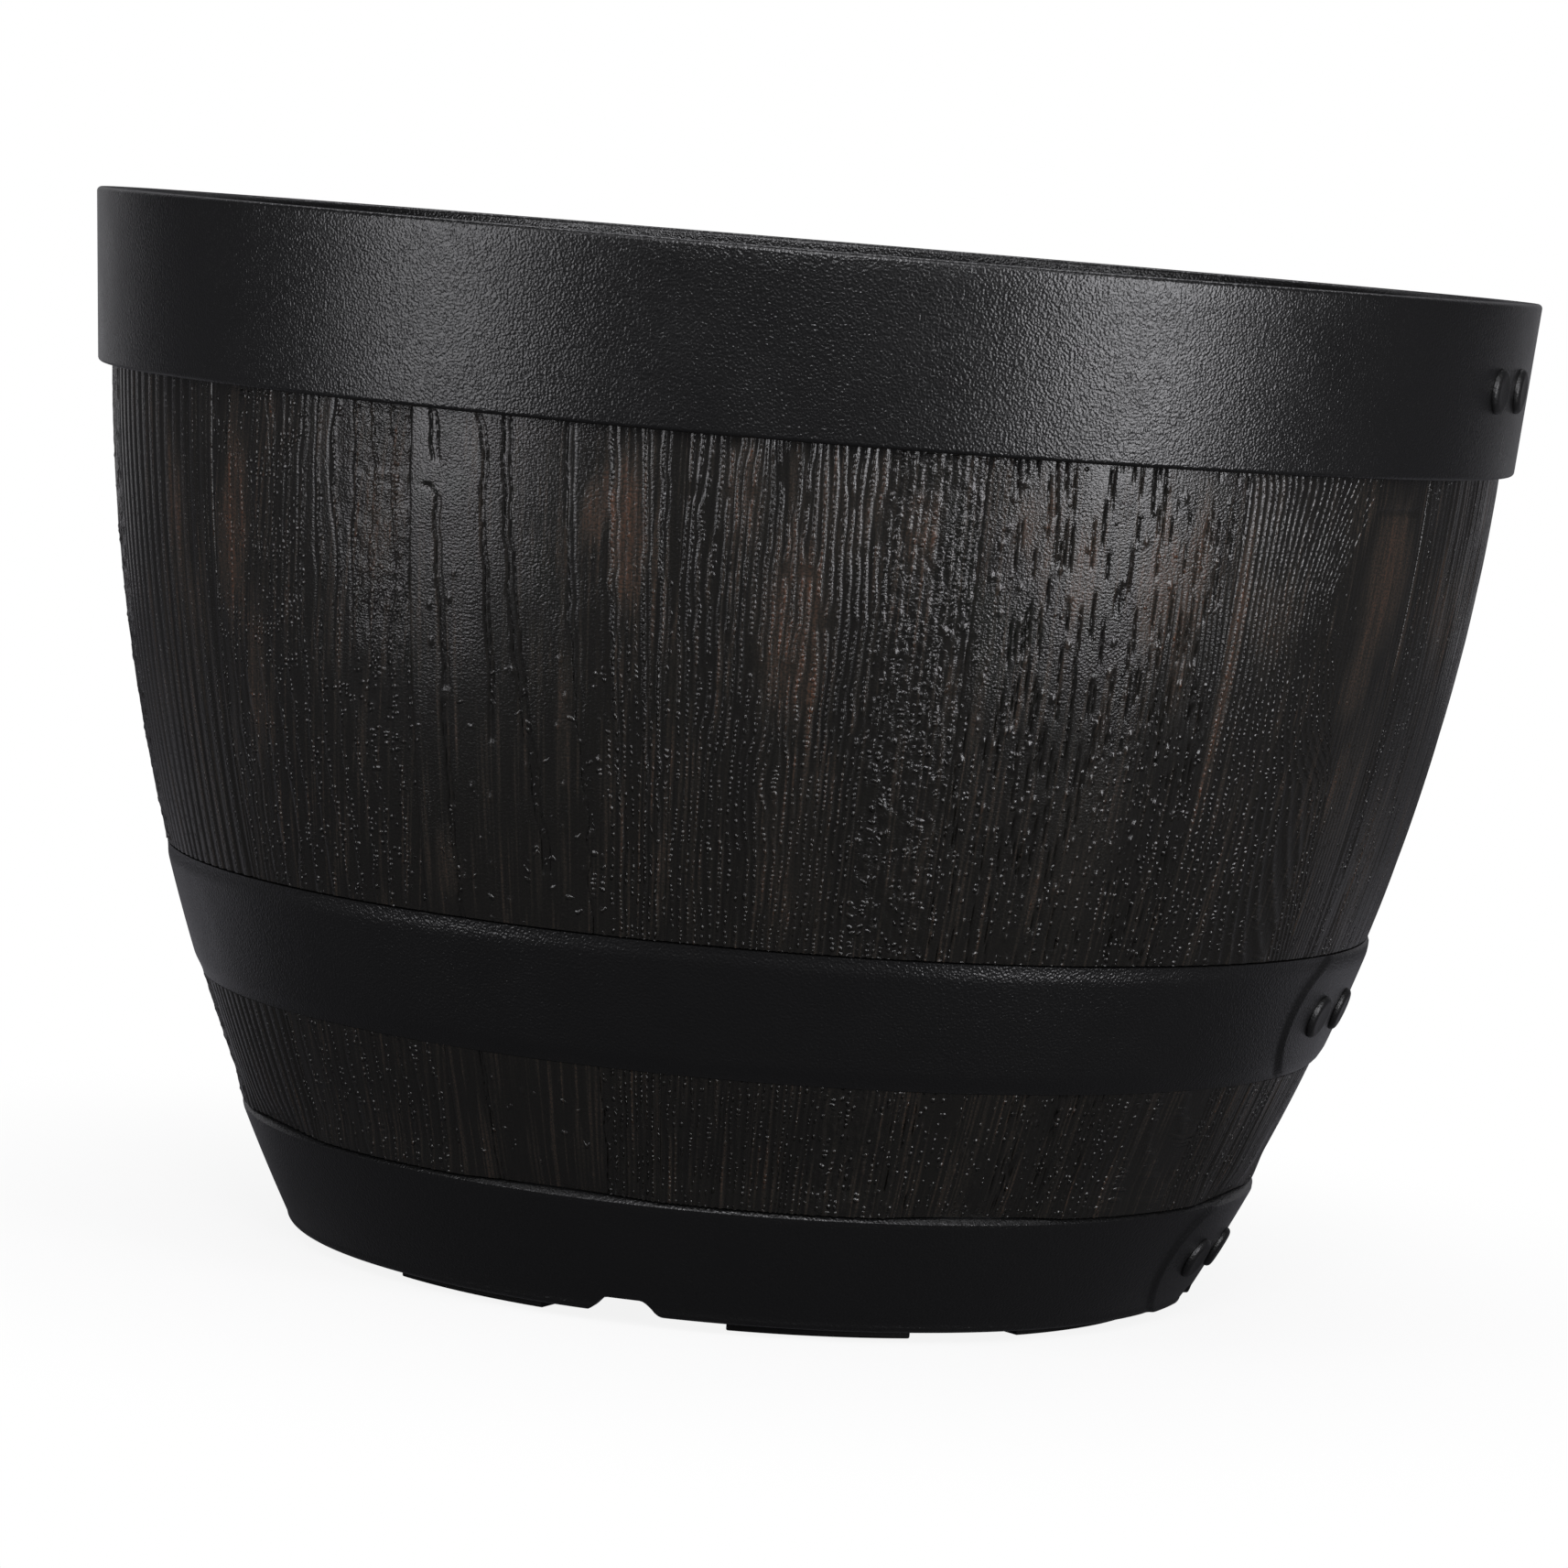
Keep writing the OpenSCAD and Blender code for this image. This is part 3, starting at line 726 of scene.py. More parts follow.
# %% [markdown]
# ## Carving wood grain
# The staves' faces aren't plain: combed ridges, chains of pores, cracks and knots. A modifier texture would
# give every stave the same fuzz, so the grain is carved in code, the way a sculptor would with a few tools:
# smooth noise to make lines wander, ridges and single strokes. All tools work on a flat board, with x
# across it and y as the depth below the rim, both in millimetres.
# %% Carving tools
BEAD_ROW_MM = 1.35
HALF_BOARD_MM = 33
BOARD_FOOT_MM = 245


def smooth_step(t):
    """0 below 0, 1 above 1, and a soft ramp between."""
    t = np.clip(t, 0, 1)
    return t * t * (3 - 2 * t)


def ramp(value, start, width):
    """0 up to start, then a soft rise to 1 over the width."""
    return smooth_step((value - start) / width)


def soft_noise(x, y, seed):
    """Random hills from 0 to 1, one to each whole step in x and y."""
    table = np.random.default_rng(seed).random((64, 64))
    column = np.floor(x).astype(int)
    row = np.floor(y).astype(int)
    u = smooth_step(x - column)
    v = smooth_step(y - row)
    near = table[column % 64, row % 64] * (1 - u) + table[(column + 1) % 64, row % 64] * u
    next_row = (row + 1) % 64
    far = table[column % 64, next_row] * (1 - u) + table[(column + 1) % 64, next_row] * u
    return near * (1 - v) + far * v


def scattered(x, y, cell, size, share, seed, bluntness=2):
    """Small bumps 1 high, at most one in each cell of a grid, where share is their chance."""
    chance = np.random.default_rng(seed).random((3, 64, 64))
    column = np.floor(x / cell[0]).astype(int)
    row = np.floor(y / cell[1]).astype(int)
    height = np.zeros_like(x)
    for i in (-1, 0, 1):
        for j in (-1, 0, 1):
            spot = ((column + i) % 64, (row + j) % 64)
            across = (column + i + 0.1 + 0.8 * chance[0][spot]) * cell[0]
            along = (row + j + 0.1 + 0.8 * chance[1][spot]) * cell[1]
            away = ((x - across) / size[0]) ** 2 + np.abs((y - along) / size[1]) ** bluntness
            height = np.maximum(height, (chance[2][spot] < share) * np.exp(-away))
    return height


def wander(x, y, across, along, reach, seed):
    """How far a grain line strays to the side, up to reach, in long slow waves."""
    return reach * (2 * soft_noise(x / across, y / along, seed) - 1)


def beside(x, y, path, seed):
    """How far to the right of a drawn line each point is, and 1 between the line's ends."""
    line = np.interp(y, [p[1] for p in path], [p[0] for p in path])
    line = line + 0.45 * (2 * soft_noise(y / 5, 0 * y + seed, 7) - 1)
    ends = smooth_step((y - path[0][1]) / 1.5) * smooth_step((path[-1][1] - y) / 1.5)
    return x - line, ends


def bead_rows(y):
    """Counts the rows of beads down the board."""
    return y / BEAD_ROW_MM


def peak(distance, width):
    """1 on a line, falling to 0 about 1.5 widths away from it."""
    return np.exp(-((distance / width) ** 2))


def comb(line, sharpness=0.7):
    """Ridges, one to each whole number of line, 1 on their tops and 0 between them."""
    return (0.5 + 0.5 * np.cos(2 * math.pi * line)) ** sharpness


def dabs(x, y, places, seed):
    """Brown dry-brushed on in patches, each (x, y, half width, half height, strength), with ragged ends."""
    ragged = soft_noise(x / 1.3, y / 14, seed) + 0.5 * soft_noise(x / 5, y / 30, seed + 1)
    thin = ramp(soft_noise(x / 0.5, y / 26, seed + 2), 0.60, 0.2)
    thin = thin * soft_noise(x / 5, y / 18, seed + 3)
    paint = 0.07 + 0.65 * thin
    for px, py, half_w, half_h, strength in places:
        away = ((x - px) / half_w) ** 2 + ((y - py + 9 * (ragged - 0.7)) / half_h) ** 2
        paint = paint + strength * np.exp(-away * away) * (0.15 + 0.85 * ragged)
    return np.clip(paint, 0, 1)


# %% [markdown]
# ## Figures of the grain
# Each figure is a function that carves one kind of board. It returns a dictionary: the relief in
# millimetres, how brown the paint is, how wrinkled the skin is, how likely a bead is, how wide, high and
# scattered beads are, and the place in a grid of cells that hold one bead each. The seven staves that the
# photograph shows each have their own figure and paint. The others repeat them, mirrored or from other seeds.
# %% Figures of the grain


def combed(x, y, seed):
    """Wide straight comb ridges, 4.8 mm apart, dotted towards the right."""
    pitch = 4.8
    line = (x + wander(x, y, 12, 45, 1.2, seed)) / pitch
    ridge = comb(line)
    small = comb(2 * line + 0.5)
    right = ramp(x, -14, 16)
    share = 0.9 * ramp(ridge, 0.72, 0.15) * (0.25 + 0.75 * right)
    return {
        "relief": 0.40 * ridge + 0.10 * small - 0.25,
        "brown": dabs(x, y, [(14, 82, 5, 20, 0.7), (19, 110, 3, 16, 0.5)], seed),
        "skin": 0.7 - 0.3 * ridge,
        "share": share,
        "cells": (3 * line + 0.2, bead_rows(y)),
        "width": 0.33,
        "height": 0.24,
        "scatter": 0.4,
    }


def flame(x, y, seed):
    """Chains of pores that sway down the board, with a flame of dense pores on the left."""
    sway = wander(x, y, 10, 22, 2.0, seed) + wander(x, y, 4, 7, 0.7, seed + 5)
    pitch = 5.5
    column = (x + sway) / pitch
    chain = peak((column + 0.4) % 1 - 0.5, 0.15)
    chain = chain * ramp(soft_noise(x / 4, y / 8, seed + 6), 0.02, 0.2)
    arch = (x + 17 + sway) ** 2 / 40 + (y - 56) * 0.62
    field = peak((arch / 13) % 1 - 0.5, 0.22) * smooth_step((4 - x) / 7) * smooth_step((118 - y) / 14)
    groups = ramp(soft_noise(x / 5, y / 7, seed + 3), 0.58, 0.12) * ramp(y, 84, 14)
    share = np.maximum(np.maximum(0.85 * field, 0.9 * chain), 0.35 * groups)
    rumpled = ramp(x, 12, 8) * smooth_step((118 - y) / 26)
    lumps = rumpled * (soft_noise(x / 1.7, y / 2.2, seed + 8) - 0.5)
    paint = [(-26, 82, 6, 22, 1.0), (-15, 118, 3, 26, 0.5), (-30, 150, 5, 22, 0.3), (24, 74, 6, 18, 0.6)]
    return {
        "relief": 0.16 * chain + 0.10 * field + 0.35 * lumps - 0.20 * peak((column + 0.62) % 1 - 0.5, 0.07),
        "brown": dabs(x + 0.12 * (y - 90), y, paint, seed),
        "skin": 0.35 + 1.0 * rumpled + 0.3 * soft_noise(x / 6, y / 20, seed + 9),
        "share": share,
        "cells": ((x + sway) / BEAD_ROW_MM, bead_rows(y)),
        "width": 0.50,
        "height": 0.34,
        "scatter": 0.6,
    }


def cracked(x, y, seed):
    """A wrinkled board with long smooth cracks, a knot's hook and thin raised wires that turn to beads."""
    relief = 0.0
    skin = 0.75
    share = 0.04 * ramp(y, 100, 25)
    jitter = 0.4 * (soft_noise(x / 9, y / 2.2, seed + 12) - 0.5)
    cracks = [
        ([(-28.0, 46), (-27.2, 52), (-26.4, 60)], 0.8, 1, 1),
        ([(-28.8, 65), (-26.0, 68), (-25.4, 84), (-24.0, 103), (-23.6, 116)], 0.7, 0.5, 2),
        ([(-15.6, 46), (-13.8, 56), (-13.8, 72), (-13.0, 84), (-11.6, 106), (-11.2, 128)], 0.5, 1, 3),
        ([(-8.6, 46), (-7.9, 63), (-6.6, 88), (-4.4, 106), (-2.0, 125), (3, 160)], 1.0, 1, 4),
        ([(6.4, 46), (7.2, 66), (8.6, 90), (11.0, 118), (14, 145), (18, BOARD_FOOT_MM)], 0.95, 0.2, 5),
        ([(-24.5, 118), (-23.5, 150), (-20, BOARD_FOOT_MM)], 0.6, 1, 6),
    ]
    for path, half, right_line, number in cracks:
        away, there = beside(x + jitter, y, path, number)
        half = half * (0.75 + 0.5 * soft_noise(y / 9, 0 * y, seed + number))
        floor = smooth_step((half + 0.15 - np.abs(away)) / 0.3) * there
        relief = relief - 0.10 * floor - 0.40 * peak(away + half, 0.22) * there
        relief = relief - 0.32 * right_line * peak(away - half, 0.20) * there
        skin = skin * (1 - 0.5 * floor)
        strung = peak(away, 0.5) * there * ramp(y, 84, 20)
        share = np.maximum(share, 0.95 * strung * (soft_noise(y / 6, 0 * y + number, seed) > 0.55))
    wires = [
        ([(16.6, 46), (17.6, 72), (18.4, 96), (20.6, 122), (22, 150)], 8),
        ([(23.2, 46), (25.0, 66), (25.6, 92), (27.2, 122), (28, 150)], 9),
        ([(27.9, 46), (28.3, 58), (29.4, 80), (30.4, 122), (31, 150)], 10),
    ]
    away = [beside(x, y, path, number)[0] for path, number in wires]
    for gap in away:
        relief = relief + 0.26 * peak(gap, 0.32) - 0.14 * peak(gap - 0.9, 0.40)
        share = np.maximum(share, 0.97 * peak(gap, 0.5))
    right = ramp(x, 12, 8)
    first, second, third = away
    inner = np.where(first < 0, first / 2.2, 4 * first / (first - second + 1e-9))
    outer = np.where(third < 0, 4 + 2 * second / (second - third + 1e-9), 6 + third / 2.2)
    column = np.where(second < 0, inner, outer)
    share = np.maximum(share, 0.55 * right * ramp(y, 70, 40))
    hook = peak((x + 28.6) / 1.6, 1.0) * peak((y - 65.6) / 0.6, 1.0)
    low = ramp(y, 112, 40)
    middle = ramp(x, -30, 4) * smooth_step((20 - x) / 6)
    blobs = scattered(x, y, (5, 9), (0.5, 0.8), 0.30 * middle * ramp(y, 70, 30), seed + 6)
    streaks = comb(column, 1.2)
    scatter = 0.5 - 0.30 * right
    paint = [(13, 66, 4.0, 9, 1.2), (21.5, 72, 4.0, 18, 1.2), (-26, 163, 4, 9, 0.35), (7, 118, 2, 20, 0.35)]
    return {
        "relief": relief - 0.35 * hook + 0.14 * right * streaks + 0.06 * low * streaks + 0.35 * blobs,
        "brown": dabs(x, y, paint, seed),
        "skin": skin * (1 - 0.35 * right),
        "share": share,
        "cells": (column + scatter / 2, bead_rows(y) + 1.5 * soft_noise(x / 1.3, y / 6, seed + 15)),
        "width": 0.42 - 0.22 * right,
        "height": 0.26 + 0.02 * right,
        "scatter": scatter,
    }


def dotted(x, y, seed):
    """Fine wandering lines of beads about 2 mm apart, rougher and looser on the right."""
    sway = wander(x, y, 6, 22, 1.3, seed) + wander(x, y, 3, 6, 0.45, seed + 5)
    pitch = 2.0
    line = (x + sway) / pitch
    ridge = comb(line, 1.4)
    right = ramp(x, 8, 8)
    lumps = soft_noise(x / 1.5, y / 2.4, seed + 8) - 0.5
    breaks = ramp(soft_noise(x / 2.1, y / 6, seed + 6), 0.14, 0.12)
    blobs = scattered(x, y, (3, 4), (0.5, 0.8), 0.5 * right * ramp(y, 60, 20), seed + 9)
    scatter = 0.25 + 0.35 * right
    relief = (0.36 * ridge * (0.4 + 0.6 * breaks) - 0.22) * (1 - 0.55 * right)
    paint = [(-7, 92, 8, 24, 1.0), (-20, 60, 5, 14, 0.7), (4, 60, 8, 14, 0.7)]
    paint += [(-4, 150, 8, 26, 0.2), (20, 66, 4, 12, 0.6)]
    return {
        "relief": relief + 0.40 * right * lumps + 0.35 * blobs,
        "brown": dabs(x, y, paint, seed),
        "skin": 0.35 + 0.6 * right,
        "share": 0.94 * breaks * (1 - 0.35 * right),
        "cells": (line + scatter / 2, bead_rows(y) + 1.6 * soft_noise(line, y / 6, seed + 15)),
        "width": 0.17 + 0.10 * right,
        "height": 0.20 + 0.08 * right,
        "scatter": scatter,
    }


def dashed(x, y, seed):
    """A wrinkled board with many thin upright dashes in clusters and a few large bright beads."""
    lean = x - 0.05 * (y - 100)
    cluster = ramp(soft_noise(lean / 7, y / 45, seed), 0.28, 0.25)
    swayed = lean + wander(x, y, 9, 12, 0.3, seed)
    dash = scattered(swayed, y, (1.9, 19), (0.22, 6.0), 0.55 * cluster, seed + 1, 6)
    dash = np.maximum(dash, scattered(swayed, y, (2.6, 11), (0.20, 3.6), 0.40 * cluster, seed + 2, 6))
    right = ramp(x, 10, 9) * ramp(y, 66, 26)
    tight = comb((lean + wander(x, y, 6, 16, 0.4, seed + 3)) / 1.6, 1.2)
    low = ramp(y, 92, 30)
    left = peak(x + 30, 5.0)
    blobs = scattered(x, y, (4.2, 5.5), (0.50, 0.75), 0.16 + 0.30 * low + 0.4 * left, seed + 4)
    columns = ramp(comb((x + wander(x, y, 5, 12, 0.5, seed + 6)) / 3.2), 0.7, 0.1)
    columns = columns * np.maximum(low, left)
    paint = [(-20, 64, 6, 10, 0.9), (-8, 74, 4, 16, 0.8), (12, 76, 6, 18, 1.1)]
    paint += [(22, 84, 4, 26, 0.9), (4, 140, 10, 24, 0.15)]
    return {
        "relief": 0.48 * blobs - 0.50 * dash - 0.26 * right * (1 - tight) + 0.12 * left,
        "brown": dabs(x, y, paint, seed),
        "skin": 0.95 - 0.5 * right - 0.35 * low,
        "share": np.clip(0.45 * columns + 0.3 * right * (tight > 0.6) + 0.03, 0, 0.9),
        "cells": (x / 1.5, bead_rows(y)),
        "width": 0.40,
        "height": 0.30,
        "scatter": 0.7,
    }


def fanned(x, y, seed):
    """Comb lines about 2 mm apart that fan to the upper right, beside a smooth brown panel."""
    pitch = 1.95
    edge = np.interp(y, [46, 60, 76, 86, 94, 111, 125, 175, 245], [13, 7, 0.5, 2, 6, 11, 17, 24, 30])
    share_of_fan = np.clip((x + 32) / 34, 0, 1.3) ** 1.6
    hook = 2.0 * np.exp(-((y - 45) / 2.0))
    line = (x - (edge - 8) * share_of_fan + hook + wander(x, y, 9, 30, 0.6, seed)) / pitch
    ridge = comb(line, 2.2)
    inside = smooth_step((edge - x) / 2)
    fringe = peak(x - edge - 4, 6.0) * ramp(y, 70, 8)
    breaks = ramp(soft_noise(x / 2.5, y / 5, seed + 6), 0.12, 0.15)
    broken = 0.7 + 0.3 * ramp(soft_noise(line, y / 1.3, seed + 7), 0.3, 0.25)
    step = 0.32 * ramp(x - edge, 1, 2)
    step = step * smooth_step((HALF_BOARD_MM - 2 - x) / 3) * peak(y - 55, 0.9)
    streaks = comb((x + wander(x, y, 9, 40, 0.4, seed + 1)) / 1.6)
    low = ramp(y, 84, 20)
    scatter = 0.2 + 0.25 * low
    paint = [(-31, 92, 2.0, 38, 1.2), (-20, 84, 8, 14, 0.4), (21, 74, 9, 17, 0.75)]
    paint += [(16, 98, 5, 12, 0.6), (26, 130, 8, 20, 0.2)]
    return {
        "relief": (0.22 * ridge * broken - 0.12) * inside - step + 0.10 * streaks * (1 - inside),
        "brown": dabs(x, y, paint, seed),
        "skin": 0.45 + 0.30 * (1 - inside),
        "share": 0.95 * inside * breaks + 0.30 * fringe * (1 - inside),
        "cells": (line + scatter / 2, bead_rows(y) + 1.5 * soft_noise(line, y / 6, seed + 15)),
        "width": 0.22 + 0.04 * (1 - inside),
        "height": 0.12 + 0.08 * low,
        "scatter": scatter,
    }


def streaked(x, y, seed):
    """Fine upright streaks with a smooth sheen, and a column of dots along the left edge."""
    pitch = 2.6
    line = (x + wander(x, y, 8, 40, 0.8, seed)) / pitch
    streaks = soft_noise(2.2 * line, y / 18, seed + 1)
    second = peak(x + 22 - 3 * soft_noise(y / 20, 0 * y, seed), 1.6)
    column = peak(x + 28.5, 1.3) + 0.7 * second * ramp(y, 80, 10)
    specks = ramp(soft_noise(x / 3, y / 9, seed + 3), 0.45, 0.3)
    return {
        "relief": 0.26 * streaks + 0.16 * comb(line) - 0.10,
        "brown": dabs(x, y, [(-6, 84, 9, 14, 0.4), (-15, 150, 8, 25, 0.2)], seed),
        "skin": 0.85,
        "share": np.clip(0.90 * column + 0.45 * specks, 0, 0.9),
        "cells": (x / 1.3, bead_rows(y)),
        "width": 0.36,
        "height": 0.38,
        "scatter": 0.5,
    }


figures = [combed, flame, cracked, dotted, dashed, fanned, streaked]
figures += [streaked, combed, flame, cracked, dotted, fanned, dashed, streaked, dotted]
print(len(figures), "staves, in the figures", sorted({f.__name__ for f in figures}))

# %% [markdown]
# ## The boards
# A blank board is made first: two fine grids, above and below the middle hoop, pulled back at their edges
# to give them thickness and closed behind. There are two blanks, a fine one for the front and a coarser
# one for the back. Each stave is a copy, carved flat and then bent round the barrel. The staves overlap
# the pot by a hair, as one moulding would.
# %% Make the blank boards
JOINT_AZ = -76.0
STAVE_ANGLE = 22.5
JOINT_W = 0.05 * MM
MM_PER_DEGREE = 2.97
BOARD_TOP = 240 * MM
BOARD_BACK = 1.2 * MM
DEEPEST = 0.85
FRONT_STEPS = (0.33, 0.50)
BACK_STEPS = (0.60, 0.90)
FRONT_STAVES = 7
BACK_PANELS = 8
BACK_PANEL_H = 12 * MM

board_w = (STAVE_ANGLE - math.degrees(JOINT_W / wall_radius(170 * MM))) * MM_PER_DEGREE * MM
spans = [(base_high.z + SEAT_GAP, middle_low.z - SEAT_GAP), (middle_high.z + SEAT_GAP, BOARD_TOP)]


def add_board_grid(low, high, steps):
    """A fine upright grid at the front, from one height to another. steps are its cells' size in mm."""
    bpy.ops.object.select_all(action="DESELECT")
    bpy.ops.mesh.primitive_grid_add(
        x_subdivisions=round(board_w / steps[0] / MM),
        y_subdivisions=round((high - low) / steps[1] / MM),
        size=1,
        location=(0, 0, (low + high) / 2),
        rotation=(math.radians(90), 0, 0),
    )
    grid = bpy.context.object
    grid.scale = (board_w, high - low, 1)
    bpy.ops.object.transform_apply()
    return grid


def cut_back(board, cut_point, cut_normal):
    """Cuts the plain back of the board by a plane, so that it can bend there."""
    bpy.ops.object.mode_set(mode="OBJECT")
    for face in board.data.polygons:
        face.select = face.normal.y > 0.9
    bpy.ops.object.mode_set(mode="EDIT")
    bpy.ops.mesh.bisect(plane_co=cut_point, plane_no=cut_normal)


def make_blank(name, steps):
    """A plain board in two parts, with a thickness and a back that can bend."""
    board = joined([add_board_grid(low, high, steps) for low, high in spans])
    board.name = name
    bpy.ops.object.mode_set(mode="EDIT")
    bpy.ops.mesh.select_mode(type="EDGE")
    bpy.ops.mesh.select_all(action="DESELECT")
    bpy.ops.mesh.select_non_manifold()
    bpy.ops.mesh.extrude_region_move(TRANSFORM_OT_translate={"value": (0, BOARD_BACK, 0)})
    bpy.ops.mesh.fill_holes(sides=0)
    bpy.ops.mesh.select_all(action="SELECT")
    bpy.ops.mesh.normals_make_consistent(inside=False)
    bpy.ops.mesh.select_mode(type="FACE")
    for i in range(1, BACK_PANELS):
        cut_back(board, (board_w * (i / BACK_PANELS - 0.5), 0, 0), (1, 0, 0))
    for low, high in spans:
        pieces_high = math.ceil((high - low) / BACK_PANEL_H)
        for i in range(1, pieces_high):
            cut_back(board, (0, 0, low + (high - low) * i / pieces_high), (0, 0, 1))
    bpy.ops.object.mode_set(mode="OBJECT")
    print(name, round(board_w / MM, 1), "mm wide,", len(board.data.polygons), "faces")
    return board


front_blank = make_blank("front_blank", FRONT_STEPS)
back_blank = make_blank("back_blank", BACK_STEPS)

# %% [markdown]
# Each stave is carved flat, as relief square to the board, and each point then moves to its place on the
# wall. What a point has of paint, skin and beads stays with it as a named value for the material.
# %% Carve the boards and bend them round the barrel
CROWN = 0.12
EDGE_ROUND = 0.5
EDGE_DROP = 0.06
END_RECESS = 0.75
END_RECESS_H = 9.0
END_FLARE = 0.95
HIGHEST = 1.3
MAP_SHIFT = 80
CELL_SHIFT = 50
MIRRORED = (8, 10, 11, 13, 15)
half_w = board_w / MM / 2
lens_edge = base_high.z / MM + END_RECESS_H


def mesh_points(mesh):
    """All vertex places of a mesh, one row each."""
    points = np.zeros(3 * len(mesh.vertices))
    mesh.vertices.foreach_get("co", points)
    return points.reshape(-1, 3)


def add_values(mesh, name, values):
    """Stores a number for each vertex, or one for all, under a name that a material can read."""
    layer = mesh.attributes.new(name, "FLOAT", "POINT")
    layer.data.foreach_set("value", np.full(len(mesh.vertices), values, np.float32))


def add_flat_map(mesh, name, across, down):
    """A UV map from two numbers for each vertex."""
    corners = np.zeros(len(mesh.loops), int)
    mesh.loops.foreach_get("vertex_index", corners)
    layer = mesh.uv_layers.new(name=name)
    places = np.stack([across[corners], down[corners]], axis=1)
    layer.data.foreach_set("uv", places.astype(np.float32).ravel())


def make_stave(number, figure):
    """Carves one copy of a blank and bends it round the barrel."""
    blank = front_blank if number <= FRONT_STAVES else back_blank
    stave = blank.copy()
    stave.data = blank.data.copy()
    stave.name = f"stave_{number:02d}"
    scene.collection.objects.link(stave)
    flat_points = mesh_points(blank.data)
    x = flat_points[:, 0] / MM
    y = (TOP - flat_points[:, 2]) / MM
    way = -1 if number in MIRRORED else 1
    carved = figure(way * x, y, 100 * number)
    edge = 1 - smooth_step((half_w - np.abs(x)) / EDGE_ROUND)
    relief = carved["relief"] * (1 - edge) - CROWN * (x / half_w) ** 2 - EDGE_DROP * edge
    end = smooth_step((lens_edge - (TOP / MM - y)) / END_RECESS_H)
    lens = (1 - (x / half_w) ** 2) * (number % 2)
    relief = relief + (END_FLARE - (END_RECESS + END_FLARE) * lens) * end
    relief = np.clip(relief, -DEEPEST, HIGHEST)
    is_face = flat_points[:, 1] < 0.5 * BOARD_BACK
    out = np.where(is_face, relief * MM, -BOARD_BACK)
    middle = JOINT_AZ + STAVE_ANGLE * (number - 0.5)
    points = wall_point(middle + x / MM_PER_DEGREE, flat_points[:, 2], out)
    stave.data.vertices.foreach_set("co", points.ravel())
    patches = 0.55 + 0.9 * soft_noise(x / 6, y / 8, 31 * number)
    smoother = 1 - 0.30 * ramp(y, 80, 40)
    low = ramp(y, 90, 35)
    thinned = 1 - 0.25 * low * (soft_noise(x / 3, y / 4, 17 * number) > 0.4)
    values = {
        "brown": carved["brown"],
        "raised": np.clip(0.5 + carved["relief"], 0, 1),
        "skin": carved["skin"] * patches * (1 - 0.7 * edge) * smoother,
        "bead_share": carved["share"] * (1 - edge) * thinned,
        "bead_width": carved["width"] * (1 + 0.25 * low),
        "bead_height": carved["height"] * (1 + 0.60 * low),
        "bead_scatter": carved["scatter"],
    }
    for name, value in values.items():
        add_values(stave.data, name, value)
    stave.data.uv_layers.remove(stave.data.uv_layers[0])
    add_flat_map(stave.data, "board", (x + MAP_SHIFT * number) * MM, y * MM)
    add_flat_map(stave.data, "beads", carved["cells"][0] + CELL_SHIFT * number, carved["cells"][1])
    stave.data.update()
    select_only(stave)
    bpy.ops.object.shade_smooth_by_angle(angle=math.radians(60))
    finish_piece(stave, staves_plastic, "pot", "stave_plastic", "barrel_shell")


for number, figure in enumerate(figures, start=1):
    make_stave(number, figure)
bpy.data.objects.remove(front_blank)
bpy.data.objects.remove(back_blank)

# %% [markdown]
# ## The rim band
# A deep band caps the top of the wall: a flat lip, a shoulder that centres it, and a skirt that draws in a
# little towards its lower edge. All edges are rounded, because a mould can't hold a knife edge, and the
# round lower edge is what catches the light above the dark gap.
# %% Spin the rim band
RIM_DRAFT = 3.6 * MM
RIM_T = 2.8 * MM
RIM_EDGE = 1.2 * MM
RIM_STEPS = 320
SHOULDER_H = 7 * MM
SHOULDER_GAP = 0.15 * MM
LIP_OVERHANG = 1.2 * MM
rim_foot = rim_low.z
rim_h = TOP - rim_foot
SHOULDER_Z = WALL_TOP - SHOULDER_H
SHOULDER_R = BELLY_R + SHOULDER_GAP
LIP_R = wall_radius(WALL_TOP, -WALL_T) - LIP_OVERHANG


def rim_radius(z):
    """Radius of the skirt's outer face at a height."""
    return BELLY_R + RIM_PROUD - RIM_DRAFT * (TOP - z) / rim_h


foot_arc_z = rim_foot + RIM_EDGE
top_arc_z = TOP - RIM_EDGE
skirt = [(rim_radius(z), z) for z in np.linspace(foot_arc_z, top_arc_z, 9)]
section = (
    arc((rim_radius(foot_arc_z) - RIM_EDGE, foot_arc_z), RIM_EDGE, -90, 0, 8)
    + skirt[1:-1]
    + arc((rim_radius(top_arc_z) - RIM_EDGE, top_arc_z), RIM_EDGE, 0, 90, 8)
    + arc((LIP_R + RIM_EDGE, top_arc_z), RIM_EDGE, 90, 180, 8)
    + [(LIP_R, WALL_TOP), (SHOULDER_R, WALL_TOP), (SHOULDER_R, SHOULDER_Z)]
    + [(rim_radius(SHOULDER_Z) - RIM_T, SHOULDER_Z), (rim_radius(rim_foot) - RIM_T, rim_foot)]
)
rim = draw_section("rim_band_finished", section, closed=True)
spin(360, RIM_STEPS)
close_up(35)
finish_piece(rim, band_plastic, "pot", "band_plastic", "rim_band")

